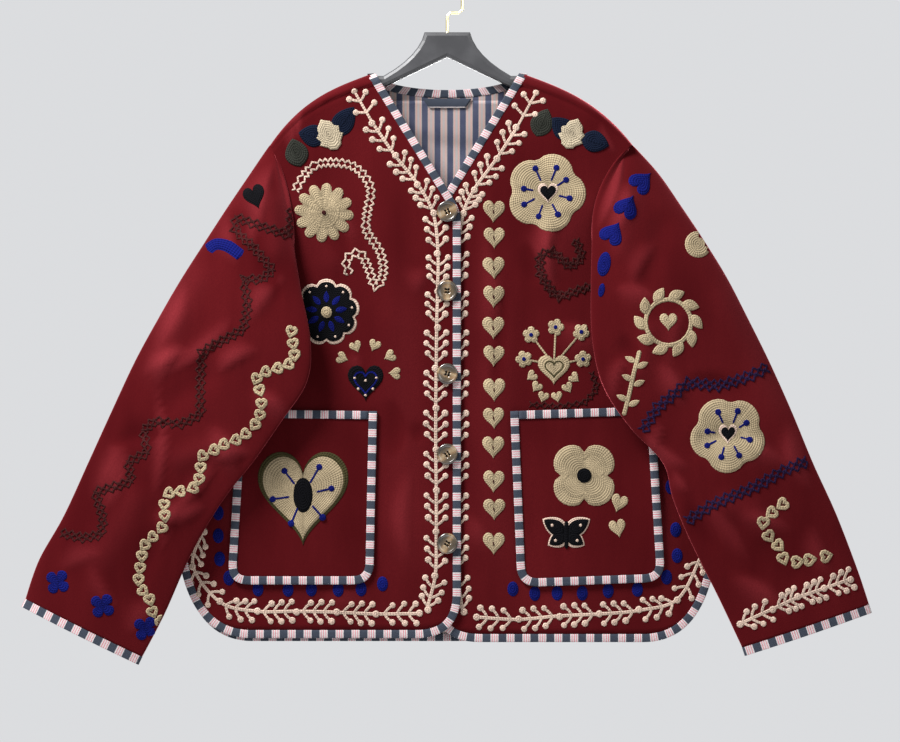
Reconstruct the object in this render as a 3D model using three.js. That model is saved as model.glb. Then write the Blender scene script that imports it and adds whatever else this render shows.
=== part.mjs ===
// A collarless velvet blazer with five buttons and two patch pockets, hanging as flat as it will on a hanger.
// Millimetres, +Z up, front towards -Y. The origin is where the rail touches the hook's inside top.
// Left and right are the wearer's, so the right front is at -X. It laps over the left front.
// A panel is worked out in its front view, as x and z between four edges, and its depth y follows from those.
import * as THREE from "three";

// Cloth.
const VELVET_WALL = 1.8; // velvet with the lining behind it
const LINING_WALL = 1.0;
const POCKET_WALL = 1.6;
const BINDING_WALL = 3.2; // folded tape with the cloth's edge inside it
const BINDING_WIDTH = 9;
const LYING_GAP = 0.7; // between a panel and what lies loosely on it
const GAP = 0.35; // between pieces that are sewn to each other
const BOUND_INSET = BINDING_WIDTH + GAP; // how far inside the outline a bound panel ends

// The body, a flattened tube.
const SHOULDER_DEPTH = 10; // from the middle plane to the cloth, just under the shoulder seam
const SHOULDER_ROLL = 9; // reached over this drop
const EXTRA_DEPTH = 4.5; // added lower down
const EXTRA_DROP = 110;
const SIDE_ROLL = 22; // width over which a panel turns in to the side seam
const HALF_NECK = 79;
const NECK_Z = -115.5;
const NECK_SLOPE = 0.36;
const TIP_Z = -195; // the shoulder's end, where the sleeve starts
const SHOULDER_POWER = 3.3; // how suddenly the shoulder falls off at that end
const UNDERARM = [244, -409];
const SLIT_TOP = [297, -628]; // the side seam ends here
const SIDE_CORNER_X = 215; // and the rounded corner below it ends here
const FRONT_CORNER = 50; // size of the rounded corner below the buttons
const FRONT_OVERLAP = 15; // each front passes the middle by this much
const LAP_DEPTH = 1.9; // and gives way to the other by this much
const LAP_FADE = 34;
const V_POINT = [-FRONT_OVERLAP, -267]; // the corner between front edge and V neck, before it is rounded
const V_ROUND = 15;
const SLIT_OPEN = 12; // how far the slit's edges stand apart, as if the side seam lay this much further out
const SLIT_FADE = 40;
const BACK_HEM_Z = -741;
const BACK_NECK_HANDLE = [52, -139];
const BACK_HANDLES = [[166, -285], [190, -395]];
const FRONT_MITRE = 0.19; // extra length of the V edge for each unit of inset, to end on the shoulder seam
const BACK_MITRE = 0.54; // and of the back neck

// Each side's shoulder end, its hem, and the two handles of its front armhole, from shoulder to underarm.
const SIDES = {
  right: { sign: -1, tipX: 194, hemZ: -736, handles: [[150, -290], [165, -395]] },
  left: { sign: 1, tipX: 203, hemZ: -740.4, handles: [[125, -265], [162, -392]] },
};

// Soft folds: each runs from (x1, z1) to (x2, z2), with its half width and how far it stands out.
const FOLD_COLUMNS = ["x1", "z1", "x2", "z2", "width", "height"];
const FRONT_FOLDS = table(FOLD_COLUMNS, [
  [-50, -300, -44, -700, 24, 3.0],
  [-178, -232, -112, -345, 24, 2.6],
  [-150, -440, -158, -720, 30, 1.8],
  [-214, -420, -236, -700, 26, 2.0],
  [46, -300, 56, -700, 24, 2.8],
  [160, -240, 104, -345, 24, 2.8],
  [126, -440, 132, -720, 30, 1.6],
  [212, -420, 232, -700, 26, 2.0],
]);
const BACK_FOLDS = table(FOLD_COLUMNS, [
  [-18, -340, -36, -720, 34, 5.0],
  [62, -345, 84, -720, 34, 4.4],
  [-118, -300, -138, -720, 34, 4.0],
  [156, -320, 172, -720, 34, 3.4],
]);

// The sleeves, a row for each section from the shoulder to the cuff.
// seam: the share of the armhole passed, 1 at the underarm, and 2 where the sleeve's own seam follows.
// fold: its inner edge, hanging in front of the body. outer: its outer edge.
// front, back: how far each layer stands out.
// under: how far the sleeve's own seam lies from the fold, as a share of the width.
const SLEEVE_COLUMNS = [
  "seam", "foldX", "foldZ", "foldY", "outerX", "outerZ", "outerY", "front", "back", "under",
];
const SLEEVES = {
  right: table(SLEEVE_COLUMNS, [
    [0.1, -187, -214, -10, -196.5, -194, 0, 2, 2, 0.3],
    [0.26, -176, -262, -21, -219, -231, -2, 11, 7, 0.3],
    [0.4, -169, -306, -28, -243, -267, -6, 14, 8, 0.3],
    [0.56, -161, -352, -36, -268, -306, -10, 15, 9, 0.3],
    [0.77, -150, -410, -43, -292, -344, -13, 16, 10, 0.3],
    [1, -154, -455, -44, -315, -384, -16, 16, 10, 0.3],
    [1.6, -182, -498, -42, -341, -432, -19, 15, 8, 0.3],
    [2, -212, -541, -41, -367, -488, -22, 14, 6, 0.28],
    [2, -245, -583, -40, -391, -541, -24, 13, 6, 0.24],
    [2, -279, -640, -38, -419, -602, -24, 12, 7, 0.2],
    [2, -309, -707, -36, -446, -650, -24, 12, 8, 0.18],
    [2, -334, -755, -36, -461, -693, -24, 12, 9, 0.16],
  ]),
  left: table(SLEEVE_COLUMNS, [
    [0.1, 190, -214, -10, 205.5, -194, 0, 2, 2, 0.3],
    [0.26, 168, -260, -21, 232, -227, -2, 11, 7, 0.3],
    [0.4, 161, -304, -28, 256, -262, -6, 14, 8, 0.3],
    [0.56, 158, -350, -36, 281, -300, -10, 15, 9, 0.3],
    [0.77, 159, -410, -43, 306, -341, -13, 16, 10, 0.3],
    [1, 171, -460, -44, 330, -388, -16, 16, 10, 0.3],
    [1.6, 200, -504, -42, 353, -435, -19, 15, 8, 0.3],
    [2, 236, -543, -41, 377, -489, -22, 14, 6, 0.28],
    [2, 247, -582, -40, 400, -545, -24, 13, 6, 0.24],
    [2, 266, -628, -38, 425, -600, -24, 12, 7, 0.2],
    [2, 297, -690, -36, 448, -660, -24, 12, 8, 0.18],
    [2, 323, -745, -36, 461, -699, -24, 12, 9, 0.16],
  ]),
};
const SEAM_TURN = 1.6; // room for the sleeve's wall where it turns forward at the armhole
const TURN_Y = -23; // how far forward it goes there before it turns in over the front
const TURN_SHARE = 0.5; // reached when this share of the armhole is passed
const TURN_TO_FOLD = 0.4; // below the armhole that turn moves this much towards the fold
const CREASE_FADE = 0.08; // a sleeve's creases fade this close to its folds, as a share of its section
const ARMPIT = { out: 12, drop: 7, y: -30 }; // below the armhole its own seam swings round the body's side
const SLEEVE_FOLDS = table(FOLD_COLUMNS, [
  [-196, -240, -184, -330, 11, 3.2],
  [-232, -262, -210, -362, 13, -2.6],
  [-262, -310, -330, -470, 15, 3.6],
  [-240, -430, -330, -500, 14, -3.0],
  [-225, -515, -310, -545, 13, 3.2],
  [-330, -560, -390, -670, 15, 2.6],
  [205, -235, 184, -330, 11, 3.2],
  [240, -262, 210, -370, 13, -2.6],
  [206, -460, 224, -380, 13, 3.6],
  [260, -530, 330, -500, 12, -3.4],
  [290, -330, 372, -510, 16, 3.0],
  [285, -585, 350, -600, 13, 3.0],
  [340, -620, 390, -680, 15, -2.4],
]);

// Pockets, by their corners from the outer top one round to the outer bottom one, as they lie at +X.
const POCKETS = {
  right: [[229, -485], [77, -487], [81, -677], [241, -677]],
  left: [[227, -482], [69, -487], [77, -680], [239, -674]],
};
const POCKET_CORNER = 24; // size of the rounded bottom corners

// Buttons.
const BUTTON_ZS = [-268, -355, -446, -534, -632];
const BUTTON_RADIUS = 11.5;
const BUTTON_THICK = 3.6;
const BUTTON_SIDES = 24;
const BUTTON_HOLE = { radius: 1.2, offset: 3.2, holes: 4, sides: 6 };
const BUTTON_STAND = 0.4; // the thread holds a button this far from the tape

// What shows inside the back: the lining, and the loop for hanging under the back neck's binding.
const LINING = { halfTop: 84, halfFoot: 40, topZ: -145, footZ: -330 };
const LOOP = { halfTop: 27, halfFoot: 20, topZ: -143, height: 10, wall: 1.4 };

// The hanger, and its wire hook with a jog and a plain bend at the top.
const HANGER = {
  halfTop: 25,
  topZ: -70.5,
  neckHandle: [31, -96.5], // the bend from the top down to the arm
  thick: 12,
  bevel: 4,
  armDrop: 3,
  armStart: [70, -118.5],
  tipX: 178,
  armHeight: 17,
  tipHeight: 13.6,
  apexZ: -98,
};
const HOOK = { wire: 1.75, jogZ: -49, halfWidth: 16.5, bend: 5, tipZ: -22 };

const VELVET = new THREE.MeshStandardMaterial({ color: 0x6a141c, roughness: 0.9, metalness: 0 });
const TAPE = new THREE.MeshStandardMaterial({ color: 0x4a4f6c, roughness: 0.8, metalness: 0 });
const STRIPED = new THREE.MeshStandardMaterial({ color: 0x9c9aa0, roughness: 0.7, metalness: 0 });
const HORN = new THREE.MeshStandardMaterial({ color: 0x6e5530, roughness: 0.35, metalness: 0 });
const PLASTIC = new THREE.MeshStandardMaterial({ color: 0x46464a, roughness: 0.6, metalness: 0 });
const BRASS = new THREE.MeshStandardMaterial({ color: 0xcdc38c, roughness: 0.3, metalness: 0.9 });

function table(columns, rows) {
  return rows.map((row) => Object.fromEntries(columns.map((name, i) => [name, row[i]])));
}

const lerp = (a, b, t) => a + (b - a) * t;
const clamp01 = (t) => Math.min(Math.max(t, 0), 1);
const smooth = (t) => clamp01(t) ** 2 * (3 - 2 * clamp01(t));
const rolled = (distance, radius) => Math.sqrt(1 - (1 - clamp01(distance / radius)) ** 2);
const count = (length) => Array.from({ length }, (_, i) => i);
const even = (steps, from = 0, to = 1) => count(steps + 1).map((i) => lerp(from, to, i / steps));

// The height at (x, z) of a list of folds, each a soft ridge that fades at its ends.
function foldHeight(folds, x, z) {
  let sum = 0;
  for (const fold of folds) {
    const along = new THREE.Vector2(fold.x2 - fold.x1, fold.z2 - fold.z1);
    const from = new THREE.Vector2(x - fold.x1, z - fold.z1);
    const share = clamp01(from.dot(along) / along.lengthSq());
    const away = from.distanceTo(along.multiplyScalar(share));
    const ends = smooth(share * 4) * smooth((1 - share) * 4);
    sum += fold.height * ends * Math.exp(-((away / fold.width) ** 2));
  }
  return sum;
}

// The shoulder seam's height at a distance from the middle.
function shoulderZ(side, x) {
  const run = Math.min(x, side.tipX) - HALF_NECK;
  const length = side.tipX - HALF_NECK;
  const fall = NECK_Z - TIP_Z - NECK_SLOPE * length;
  return NECK_Z - NECK_SLOPE * run - fall * Math.max(run / length, 0) ** SHOULDER_POWER;
}

const sideX = (z) => lerp(UNDERARM[0], SLIT_TOP[0], clamp01((UNDERARM[1] - z) / (UNDERARM[1] - SLIT_TOP[1])));
const sideOf = (x) => (x < 0 ? SIDES.right : SIDES.left);

// The flattened body's half depth at a place in the front view. At its seams it comes down to half a gap.
function halfDepth(x, z) {
  const drop = shoulderZ(sideOf(x), Math.abs(x)) - z;
  const room = z < UNDERARM[1]
    ? sideX(z) - Math.abs(x)
    : Math.hypot(UNDERARM[0] - Math.abs(x), z - UNDERARM[1]);
  const open = SLIT_OPEN * smooth((SLIT_TOP[1] - z) / SLIT_FADE);
  const body = SHOULDER_DEPTH * rolled(drop, SHOULDER_ROLL) + EXTRA_DEPTH * smooth(drop / EXTRA_DROP);
  return GAP / 2 + body * rolled(Math.max(room, 0) + open, SIDE_ROLL);
}

// Folds fade out towards the shoulder and the sides.
function foldFade(x, z) {
  const drop = shoulderZ(sideOf(x), Math.abs(x)) - z;
  const room = z < UNDERARM[1] ? sideX(z) - Math.abs(x) : UNDERARM[0] - Math.abs(x);
  return smooth(drop / 60) * smooth(room / 40);
}

function frontPoint(side, x, z, out = 0) {
  const lap = LAP_DEPTH * smooth((FRONT_OVERLAP + LAP_FADE - Math.abs(x)) / LAP_FADE);
  const fold = foldHeight(FRONT_FOLDS, x, z) * foldFade(x, z);
  return new THREE.Vector3(x, side.sign * lap - halfDepth(x, z) - fold - out, z);
}

function backPoint(x, z, out = 0) {
  return new THREE.Vector3(x, halfDepth(x, z) + foldHeight(BACK_FOLDS, x, z) * foldFade(x, z) + out, z);
}

const flat = ([x, z]) => new THREE.Vector2(x, z);
const line = (a, b) => new THREE.LineCurve(flat(a), flat(b));
const bend = (a, b, c) => new THREE.QuadraticBezierCurve(flat(a), flat(b), flat(c));
const cubic = (a, b, c, d) => new THREE.CubicBezierCurve(flat(a), flat(b), flat(c), flat(d));

// A point on a curve, moved to the right of its run by a distance. Past its ends the curve goes on.
function inset(curve, t, distance) {
  const run = curve.getTangent(Math.min(Math.max(t, 0.001), 0.999));
  const point = curve.getPoint(t);
  return new THREE.Vector2(point.x + run.y * distance, point.y - run.x * distance);
}

// A way along several curves. A leg follows its curve from t = from to t = to, and ends at the share end of
// the way. It has a mitre where its last end grows with the inset.
function route(legs) {
  return (share, distance = 0) => {
    const i = Math.max(legs.findIndex((leg) => share <= leg.end), 0);
    const { curve, from, to, end, mitre = 0 } = legs[i];
    const start = i ? legs[i - 1].end : 0;
    const part = (share - start) / (end - start);
    return inset(curve, lerp(from, to + mitre * distance, part), distance);
  };
}

// The shares at which a way is cut into steps, with each leg's own number of steps.
function stepsOf(legs) {
  const shares = [0];
  legs.forEach((leg, i) => shares.push(...even(leg.steps, i ? legs[i - 1].end : 0, leg.end).slice(1)));
  return shares;
}

// The curves round one side, as they lie for the left side at +X: the corner at the slit, the hem, and so on.
function sideCurves(side, hemZ) {
  const edgeX = -FRONT_OVERLAP;
  const vRun = flat([HALF_NECK, NECK_Z]).sub(flat(V_POINT)).normalize();
  const vStart = flat(V_POINT).addScaledVector(vRun, V_ROUND).toArray();
  const edgeTop = [edgeX, V_POINT[1] - V_ROUND];
  const tip = [side.tipX, TIP_Z];
  return {
    slit: bend(SLIT_TOP, [SLIT_TOP[0] - 10, hemZ], [SIDE_CORNER_X, hemZ]),
    hem: line([SIDE_CORNER_X, hemZ], [edgeX + FRONT_CORNER, hemZ]),
    corner: bend([edgeX + FRONT_CORNER, hemZ], [edgeX, hemZ], [edgeX, hemZ + FRONT_CORNER]),
    edge: line([edgeX, hemZ + FRONT_CORNER], edgeTop),
    turn: bend(edgeTop, V_POINT, vStart),
    vNeck: line(vStart, [HALF_NECK, NECK_Z]),
    seam: line(SLIT_TOP, UNDERARM),
    frontHole: cubic(tip, ...side.handles, UNDERARM),
    backHole: cubic(tip, ...BACK_HANDLES, UNDERARM),
  };
}

// Up a panel's side: the rounded corner, the side seam and the armhole. Only the corner's edge is bound.
const SIDE_SHARES = { slit: 0.14, sewn: 0.152, underarm: 0.52 };
const SIDE_STEPS = [0, 0.035, 0.07, 0.105, SIDE_SHARES.slit, SIDE_SHARES.sewn];
const SLIT_START = 0.006; // the tape begins just below the seam
const SLIT_EXTRA = 1.5; // more inset there, where the tape lies aslant
function sideEdge(curves, hole) {
  const way = route([
    { curve: curves.slit, from: 0.5, to: 0, end: SIDE_SHARES.slit },
    { curve: curves.seam, from: 0, to: 1, end: SIDE_SHARES.underarm },
    { curve: hole, from: 1, to: 0, end: 1 },
  ]);
  const { slit, sewn } = SIDE_SHARES;
  const bound = (v) => BOUND_INSET + SLIT_EXTRA * Math.min(v / slit, 1);
  return (v) => way(v, bound(v) * clamp01((sewn - v) / (sewn - slit)));
}

// A place between four edges that meet at their ends.
function between({ bottom, top, left, right }, u, v) {
  const mix = (a, b, t) => a.clone().lerp(b, t);
  const across = mix(bottom(u), top(u), v).add(mix(left(v), right(v), u));
  return across.sub(mix(mix(bottom(0), bottom(1), u), mix(top(0), top(1), u), v));
}

function frontEdges(side) {
  const curves = sideCurves(side, side.hemZ);
  const low = route([
    { curve: curves.slit, from: 0.5, to: 1, end: 0.14 },
    { curve: curves.hem, from: 0, to: 1, end: 0.86 },
    { curve: curves.corner, from: 0, to: 0.5, end: 1 },
  ]);
  const middle = route([
    { curve: curves.corner, from: 0.5, to: 1, end: 0.05 },
    { curve: curves.edge, from: 0, to: 1, end: 0.7 },
    { curve: curves.turn, from: 0, to: 1, end: 0.74 },
    { curve: curves.vNeck, from: 0, to: 1, end: 1, mitre: FRONT_MITRE / curves.vNeck.getLength() },
  ]);
  const neckX = middle(1, BOUND_INSET).x;
  return {
    bottom: (u) => low(u, BOUND_INSET),
    top: (u) => shoulderPoint(side, neckX, u),
    left: sideEdge(curves, curves.frontHole),
    right: (v) => middle(v, BOUND_INSET),
  };
}

const mirrored = (point) => new THREE.Vector2(-point.x, point.y);

const NECK_SHARE = 0.34; // the share of the back's top edge that each shoulder takes
const NECK_INSET = BOUND_INSET + 0.5;
const NECK_STEPS = [0, 0.008, 0.03, 0.07, 0.15, 0.32, 0.5, 0.68, 0.85, 0.93, 0.965, 0.988, 1];
const CORNER_SHARE = 0.1; // the share of the back's low edge that each corner takes
function backEdges() {
  const right = sideCurves(SIDES.right, BACK_HEM_Z);
  const left = sideCurves(SIDES.left, BACK_HEM_Z);
  const corner = route([{ curve: left.slit, from: 0.5, to: 1, end: CORNER_SHARE }]);
  const low = (u) => {
    if (u < CORNER_SHARE) return corner(u, BOUND_INSET);
    if (u > 1 - CORNER_SHARE) return mirrored(corner(1 - u, BOUND_INSET));
    const x = lerp(SIDE_CORNER_X, -SIDE_CORNER_X, (u - CORNER_SHARE) / (1 - 2 * CORNER_SHARE));
    return flat([x, BACK_HEM_Z + BOUND_INSET]);
  };
  const neck = backNeck();
  const top = (u) => {
    const start = neck(0, NECK_INSET).x;
    if (u > 1 - NECK_SHARE) return mirrored(shoulderPoint(SIDES.right, -start, (1 - u) / NECK_SHARE));
    if (u < NECK_SHARE) return shoulderPoint(SIDES.left, -start, u / NECK_SHARE);
    return mirrored(neck((u - NECK_SHARE) / (1 - 2 * NECK_SHARE), NECK_INSET));
  };
  const rightSide = sideEdge(right, right.backHole);
  return {
    bottom: low,
    top,
    left: sideEdge(left, left.backHole),
    right: (v) => mirrored(rightSide(v)),
  };
}

function shoulderPoint(side, neckX, share) {
  const x = lerp(side.tipX, neckX, share);
  return flat([x, shoulderZ(side, x)]);
}

// The back neck, from -X to +X, longer at both ends for each unit of inset.
function backNeck() {
  const [x, z] = BACK_NECK_HANDLE;
  const curve = cubic([-HALF_NECK, NECK_Z], [-x, z], [x, z], [HALF_NECK, NECK_Z]);
  const mitre = BACK_MITRE / (3 * Math.hypot(HALF_NECK - x, NECK_Z - z));
  return (share, distance) => inset(curve, lerp(-mitre * distance, 1 + mitre * distance, share), distance);
}

// A closed wall of cloth through place(u, v), with columns at us and rows at vs.
function clothWall(us, vs, place, wall) {
  const step = 1e-4;
  const points = [];
  const normals = [];
  for (const v of vs) {
    for (const u of us) {
      const across = place(Math.min(u + step, 1), v).sub(place(Math.max(u - step, 0), v));
      const up = place(u, Math.min(v + step, 1)).sub(place(u, Math.max(v - step, 0)));
      points.push(place(u, v));
      normals.push(across.cross(up).normalize());
    }
  }
  const [rows, columns, skin] = [vs.length, us.length, points.length];
  const outer = points.map((point, i) => point.clone().addScaledVector(normals[i], wall / 2));
  const inner = points.map((point, i) => point.clone().addScaledVector(normals[i], -wall / 2));
  const index = [];
  const quad = (a, b, c, d) => index.push(a, b, c, a, c, d);
  const cell = (row, column) => row * columns + column;
  for (let r = 0; r < rows - 1; r += 1) {
    for (let c = 0; c < columns - 1; c += 1) {
      const corners = [cell(r, c), cell(r, c + 1), cell(r + 1, c + 1), cell(r + 1, c)];
      quad(...corners);
      quad(...corners.reverse().map((i) => i + skin));
    }
  }
  const along = count(columns).map((c) => cell(0, c));
  const upward = count(rows).map((r) => cell(r, columns - 1));
  const back = count(columns).map((c) => cell(rows - 1, c)).reverse();
  const down = count(rows).map((r) => cell(r, 0)).reverse();
  const rim = [...along, ...upward.slice(1), ...back.slice(1), ...down.slice(1)];
  for (let i = 0; i < rim.length - 1; i += 1) {
    quad(rim[i], rim[i] + skin, rim[i + 1] + skin, rim[i + 1]);
  }
  return solidOf([...outer, ...inner], index);
}

// A geometry with its faces pointing out.
function solidOf(points, index) {
  let volume = 0;
  for (let i = 0; i < index.length; i += 3) {
    const [a, b, c] = [points[index[i]], points[index[i + 1]], points[index[i + 2]]];
    volume += a.dot(b.clone().cross(c));
  }
  const geometry = new THREE.BufferGeometry().setFromPoints(points);
  geometry.setIndex(volume < 0 ? index.reverse() : index);
  return geometry;
}

// Columns and rows lie close together where a panel turns in to its side seam and over the shoulder.
const TURN_IN = [0, 0.002, 0.01, 0.026, 0.05, 0.09];
const TURN_OVER = [0.94, 0.984, 0.994, 0.9977, 0.9995, 1];

function makeFront(name) {
  const side = SIDES[name];
  const edges = frontEdges(side);
  const place = (u, v) => {
    const at = between(edges, u, v);
    return frontPoint(side, side.sign * at.x, at.y);
  };
  const us = [...TURN_IN, ...even(9, 0.17, 1)];
  const vs = [...SIDE_STEPS, ...even(4, 0.22, 0.46), ...even(9, 0.52, 0.9), ...TURN_OVER];
  return clothWall(us, vs, place, VELVET_WALL);
}

function makeBack() {
  const edges = backEdges();
  const place = (u, v) => {
    const at = between(edges, u, v);
    return backPoint(at.x, at.y);
  };
  const side = [...TURN_IN.map((u) => u / 2), ...even(4, 0.085, 0.29)];
  const neck = NECK_STEPS.map((share) => lerp(NECK_SHARE, 1 - NECK_SHARE, share));
  const us = [...side, ...neck, ...side.map((u) => 1 - u).reverse()];
  const vs = [...SIDE_STEPS, ...even(3, 0.24, 0.46), ...even(7, 0.52, 0.9), ...TURN_OVER];
  return clothWall(us, vs, place, VELVET_WALL);
}

// The tape round a front: up from the slit along the hem and the front edge to the shoulder.
const NEAR_SHOULDER = 0.93; // the share of the V neck where its last, closer steps begin
function makeFrontBinding(name) {
  const side = SIDES[name];
  const curves = sideCurves(side, side.hemZ);
  const mitre = FRONT_MITRE / curves.vNeck.getLength();
  const legs = [
    { curve: curves.slit, from: SLIT_START, to: 1, end: 0.16, steps: 15 },
    { curve: curves.hem, from: 0, to: 1, end: 0.34, steps: 7 },
    { curve: curves.corner, from: 0, to: 1, end: 0.41, steps: 7 },
    { curve: curves.edge, from: 0, to: 1, end: 0.8, steps: 14 },
    { curve: curves.turn, from: 0, to: 1, end: 0.84, steps: 5 },
    { curve: curves.vNeck, from: 0, to: NEAR_SHOULDER, end: 0.98, steps: 5 },
    { curve: curves.vNeck, from: NEAR_SHOULDER, to: 1, end: 1, steps: 4, mitre },
  ];
  const way = route(legs);
  const place = (s, w) => {
    const at = way(s, w * BINDING_WIDTH);
    return frontPoint(side, side.sign * at.x, at.y);
  };
  return clothWall(stepsOf(legs), [0, 1], place, BINDING_WALL);
}

const SLIT_SHARE = 0.3; // the share of the back hem's tape that each slit takes
function makeBackHemBinding() {
  const { slit } = sideCurves(SIDES.left, BACK_HEM_Z);
  const hem = line([SIDE_CORNER_X, BACK_HEM_Z], [-SIDE_CORNER_X, BACK_HEM_Z]);
  const down = route([{ curve: slit, from: SLIT_START, to: 1, end: SLIT_SHARE }]);
  const way = (s, distance) => {
    if (s < SLIT_SHARE) return down(s, distance);
    if (s > 1 - SLIT_SHARE) return mirrored(down(1 - s, distance));
    return inset(hem, (s - SLIT_SHARE) / (1 - 2 * SLIT_SHARE), distance);
  };
  const place = (s, w) => {
    const at = way(s, w * BINDING_WIDTH);
    return backPoint(at.x, at.y);
  };
  const slitSteps = even(15, 0, SLIT_SHARE);
  const hemSteps = even(12, SLIT_SHARE, 1 - SLIT_SHARE).slice(1);
  const shares = [...slitSteps, ...hemSteps, ...even(15, 1 - SLIT_SHARE, 1).slice(1)];
  return clothWall(shares, [0, 1], place, BINDING_WALL);
}

function makeBackNeckBinding() {
  const neck = backNeck();
  const place = (s, w) => {
    const at = neck(s, w * BINDING_WIDTH);
    return backPoint(at.x, at.y);
  };
  return clothWall(NECK_STEPS, [0, 1], place, BINDING_WALL);
}

// A value of a sleeve's column at v, on a smooth curve through its rows.
function columnAt(rows, column, v) {
  const place = clamp01(v) * (rows.length - 1);
  const i = Math.min(Math.floor(place), rows.length - 2);
  const t = place - i;
  const value = (k) => rows[Math.min(Math.max(k, 0), rows.length - 1)][column];
  const [a, b, c, d] = [value(i - 1), value(i), value(i + 1), value(i + 2)];
  if (column === "seam") return lerp(b, c, t);
  return b + 0.5 * t * (c - a + t * (2 * a - 5 * b + 4 * c - d + t * (3 * (b - c) + d - a)));
}

// Where a sleeve's section passes its fold and its outer edge.
const RING_SHARES = { fold: 2 / 6, outer: 4 / 6 };

// A point of a sleeve: u runs from the seam in front, over the fold and the outer edge, to the seam behind.
function sleevePoint(name, u, v) {
  const side = SIDES[name];
  const rows = SLEEVES[name];
  const row = Object.fromEntries(SLEEVE_COLUMNS.map((column) => [column, columnAt(rows, column, v)]));
  const curves = sideCurves(side, side.hemZ);
  const fold = new THREE.Vector3(row.foldX, row.foldY, row.foldZ);
  const outer = new THREE.Vector3(row.outerX, row.outerY, row.outerZ);
  const under = fold.clone().lerp(outer, row.under);
  under.y += row.back * Math.sin(Math.PI * row.under);
  const away = outer.clone().sub(fold).normalize().multiplyScalar(GAP / 2);
  const share = Math.min(row.seam, 1);
  const below = clamp01(row.seam - 1);
  const ends = [[curves.frontHole, frontPoint.bind(null, side), -1], [curves.backHole, backPoint, 1]];
  const [start, end] = ends.map(([curve, point, sign]) => {
    const at = inset(curve, share, -GAP - SEAM_TURN);
    const hole = point(side.sign * at.x, at.y);
    const swing = new THREE.Vector3(hole.x + side.sign * ARMPIT.out, ARMPIT.y, hole.z - ARMPIT.drop);
    const path = new THREE.QuadraticBezierCurve3(hole, swing, under);
    return path.getPoint(below).addScaledVector(away, sign * below);
  });
  const turn = start.clone();
  turn.y = lerp(start.y, Math.min(TURN_Y, start.y), smooth(share / TURN_SHARE));
  turn.lerp(start.clone().lerp(fold, TURN_TO_FOLD), below);
  const front = fold.clone().lerp(outer, 0.5);
  front.y -= row.front;
  const back = outer.clone().lerp(end, 0.5);
  back.y += row.back;
  const ring = new THREE.CatmullRomCurve3([start, turn, fold, front, outer, back, end], false, "centripetal");
  const point = ring.getPoint(u);
  const { fold: foldU, outer: outerU } = RING_SHARES;
  const near = (distance) => smooth(distance / CREASE_FADE);
  const face = u < outerU
    ? -near(u - foldU) * near(outerU - u)
    : near(u - outerU) * near(1 - u);
  point.y += face * foldHeight(SLEEVE_FOLDS, point.x, point.z) * smooth((1 - v) / 0.1);
  return point;
}

const ROUND_SLEEVE = [
  ...even(4, 0, 0.28),
  ...even(2, 1 / 3, 0.38),
  ...even(4, 0.43, 0.6),
  ...even(2, 0.64, 0.7),
  ...even(3, 0.76, 1),
];
const ALONG_SLEEVE = [...even(13, 0, 0.5), ...even(7, 0.56, 1)];
function makeSleeve(name) {
  return clothWall(ROUND_SLEEVE, ALONG_SLEEVE, (u, v) => sleevePoint(name, u, v), VELVET_WALL);
}

// The tape round a cuff goes straight on from the sleeve's end.
function makeCuffBinding(name) {
  const rows = SLEEVES[name];
  const last = rows[rows.length - 1];
  const run = new THREE.Vector3(last.foldZ - last.outerZ, 0, last.outerX - last.foldX).normalize();
  if (run.z > 0) run.negate();
  const place = (u, w) => sleevePoint(name, u, 1).addScaledVector(run, GAP + w * BINDING_WIDTH);
  return clothWall(ROUND_SLEEVE, [0, 1], place, VELVET_WALL);
}

// The line round a pocket, down its outer side, along the foot, up its inner side and back across the top.
function pocketCurves(name) {
  const [topOut, topIn, lowIn, lowOut] = POCKETS[name].map(flat);
  const rounded = (corner, towards) => {
    const run = towards.clone().sub(corner).normalize();
    return corner.clone().addScaledVector(run, POCKET_CORNER);
  };
  const outCorner = new THREE.QuadraticBezierCurve(rounded(lowOut, topOut), lowOut, rounded(lowOut, lowIn));
  const inCorner = new THREE.QuadraticBezierCurve(rounded(lowIn, lowOut), lowIn, rounded(lowIn, topIn));
  return {
    outSide: new THREE.LineCurve(topOut, outCorner.v0),
    outCorner,
    foot: new THREE.LineCurve(outCorner.v2, inCorner.v0),
    inCorner,
    inSide: new THREE.LineCurve(inCorner.v2, topIn),
    top: new THREE.LineCurve(topIn, topOut),
  };
}

// A pocket's velvet, inside its tape.
function makePocket(name) {
  const side = SIDES[name];
  const curves = pocketCurves(name);
  const topShare = BOUND_INSET / curves.outSide.getLength();
  const endShare = BOUND_INSET / curves.top.getLength();
  const low = route([
    { curve: curves.outCorner, from: 0.5, to: 1, end: 0.12 },
    { curve: curves.foot, from: 0, to: 1, end: 0.88 },
    { curve: curves.inCorner, from: 0, to: 0.5, end: 1 },
  ]);
  const outer = route([
    { curve: curves.outCorner, from: 0.5, to: 0, end: 0.1 },
    { curve: curves.outSide, from: 1, to: topShare, end: 1 },
  ]);
  const inner = route([
    { curve: curves.inCorner, from: 0.5, to: 1, end: 0.1 },
    { curve: curves.inSide, from: 0, to: 1 - topShare, end: 1 },
  ]);
  const edges = {
    bottom: (u) => low(u, BOUND_INSET),
    top: (u) => inset(curves.top, lerp(1 - endShare, endShare, u), BOUND_INSET),
    left: (v) => outer(v, BOUND_INSET),
    right: (v) => inner(v, BOUND_INSET),
  };
  const place = (u, v) => {
    const at = between(edges, u, v);
    return frontPoint(side, side.sign * at.x, at.y, VELVET_WALL / 2 + LYING_GAP + POCKET_WALL / 2);
  };
  const us = [0, 0.06, ...even(4, 0.12, 0.88), 0.94, 1];
  const vs = [0, 0.05, ...even(6, 0.1, 1)];
  return clothWall(us, vs, place, POCKET_WALL);
}

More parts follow.
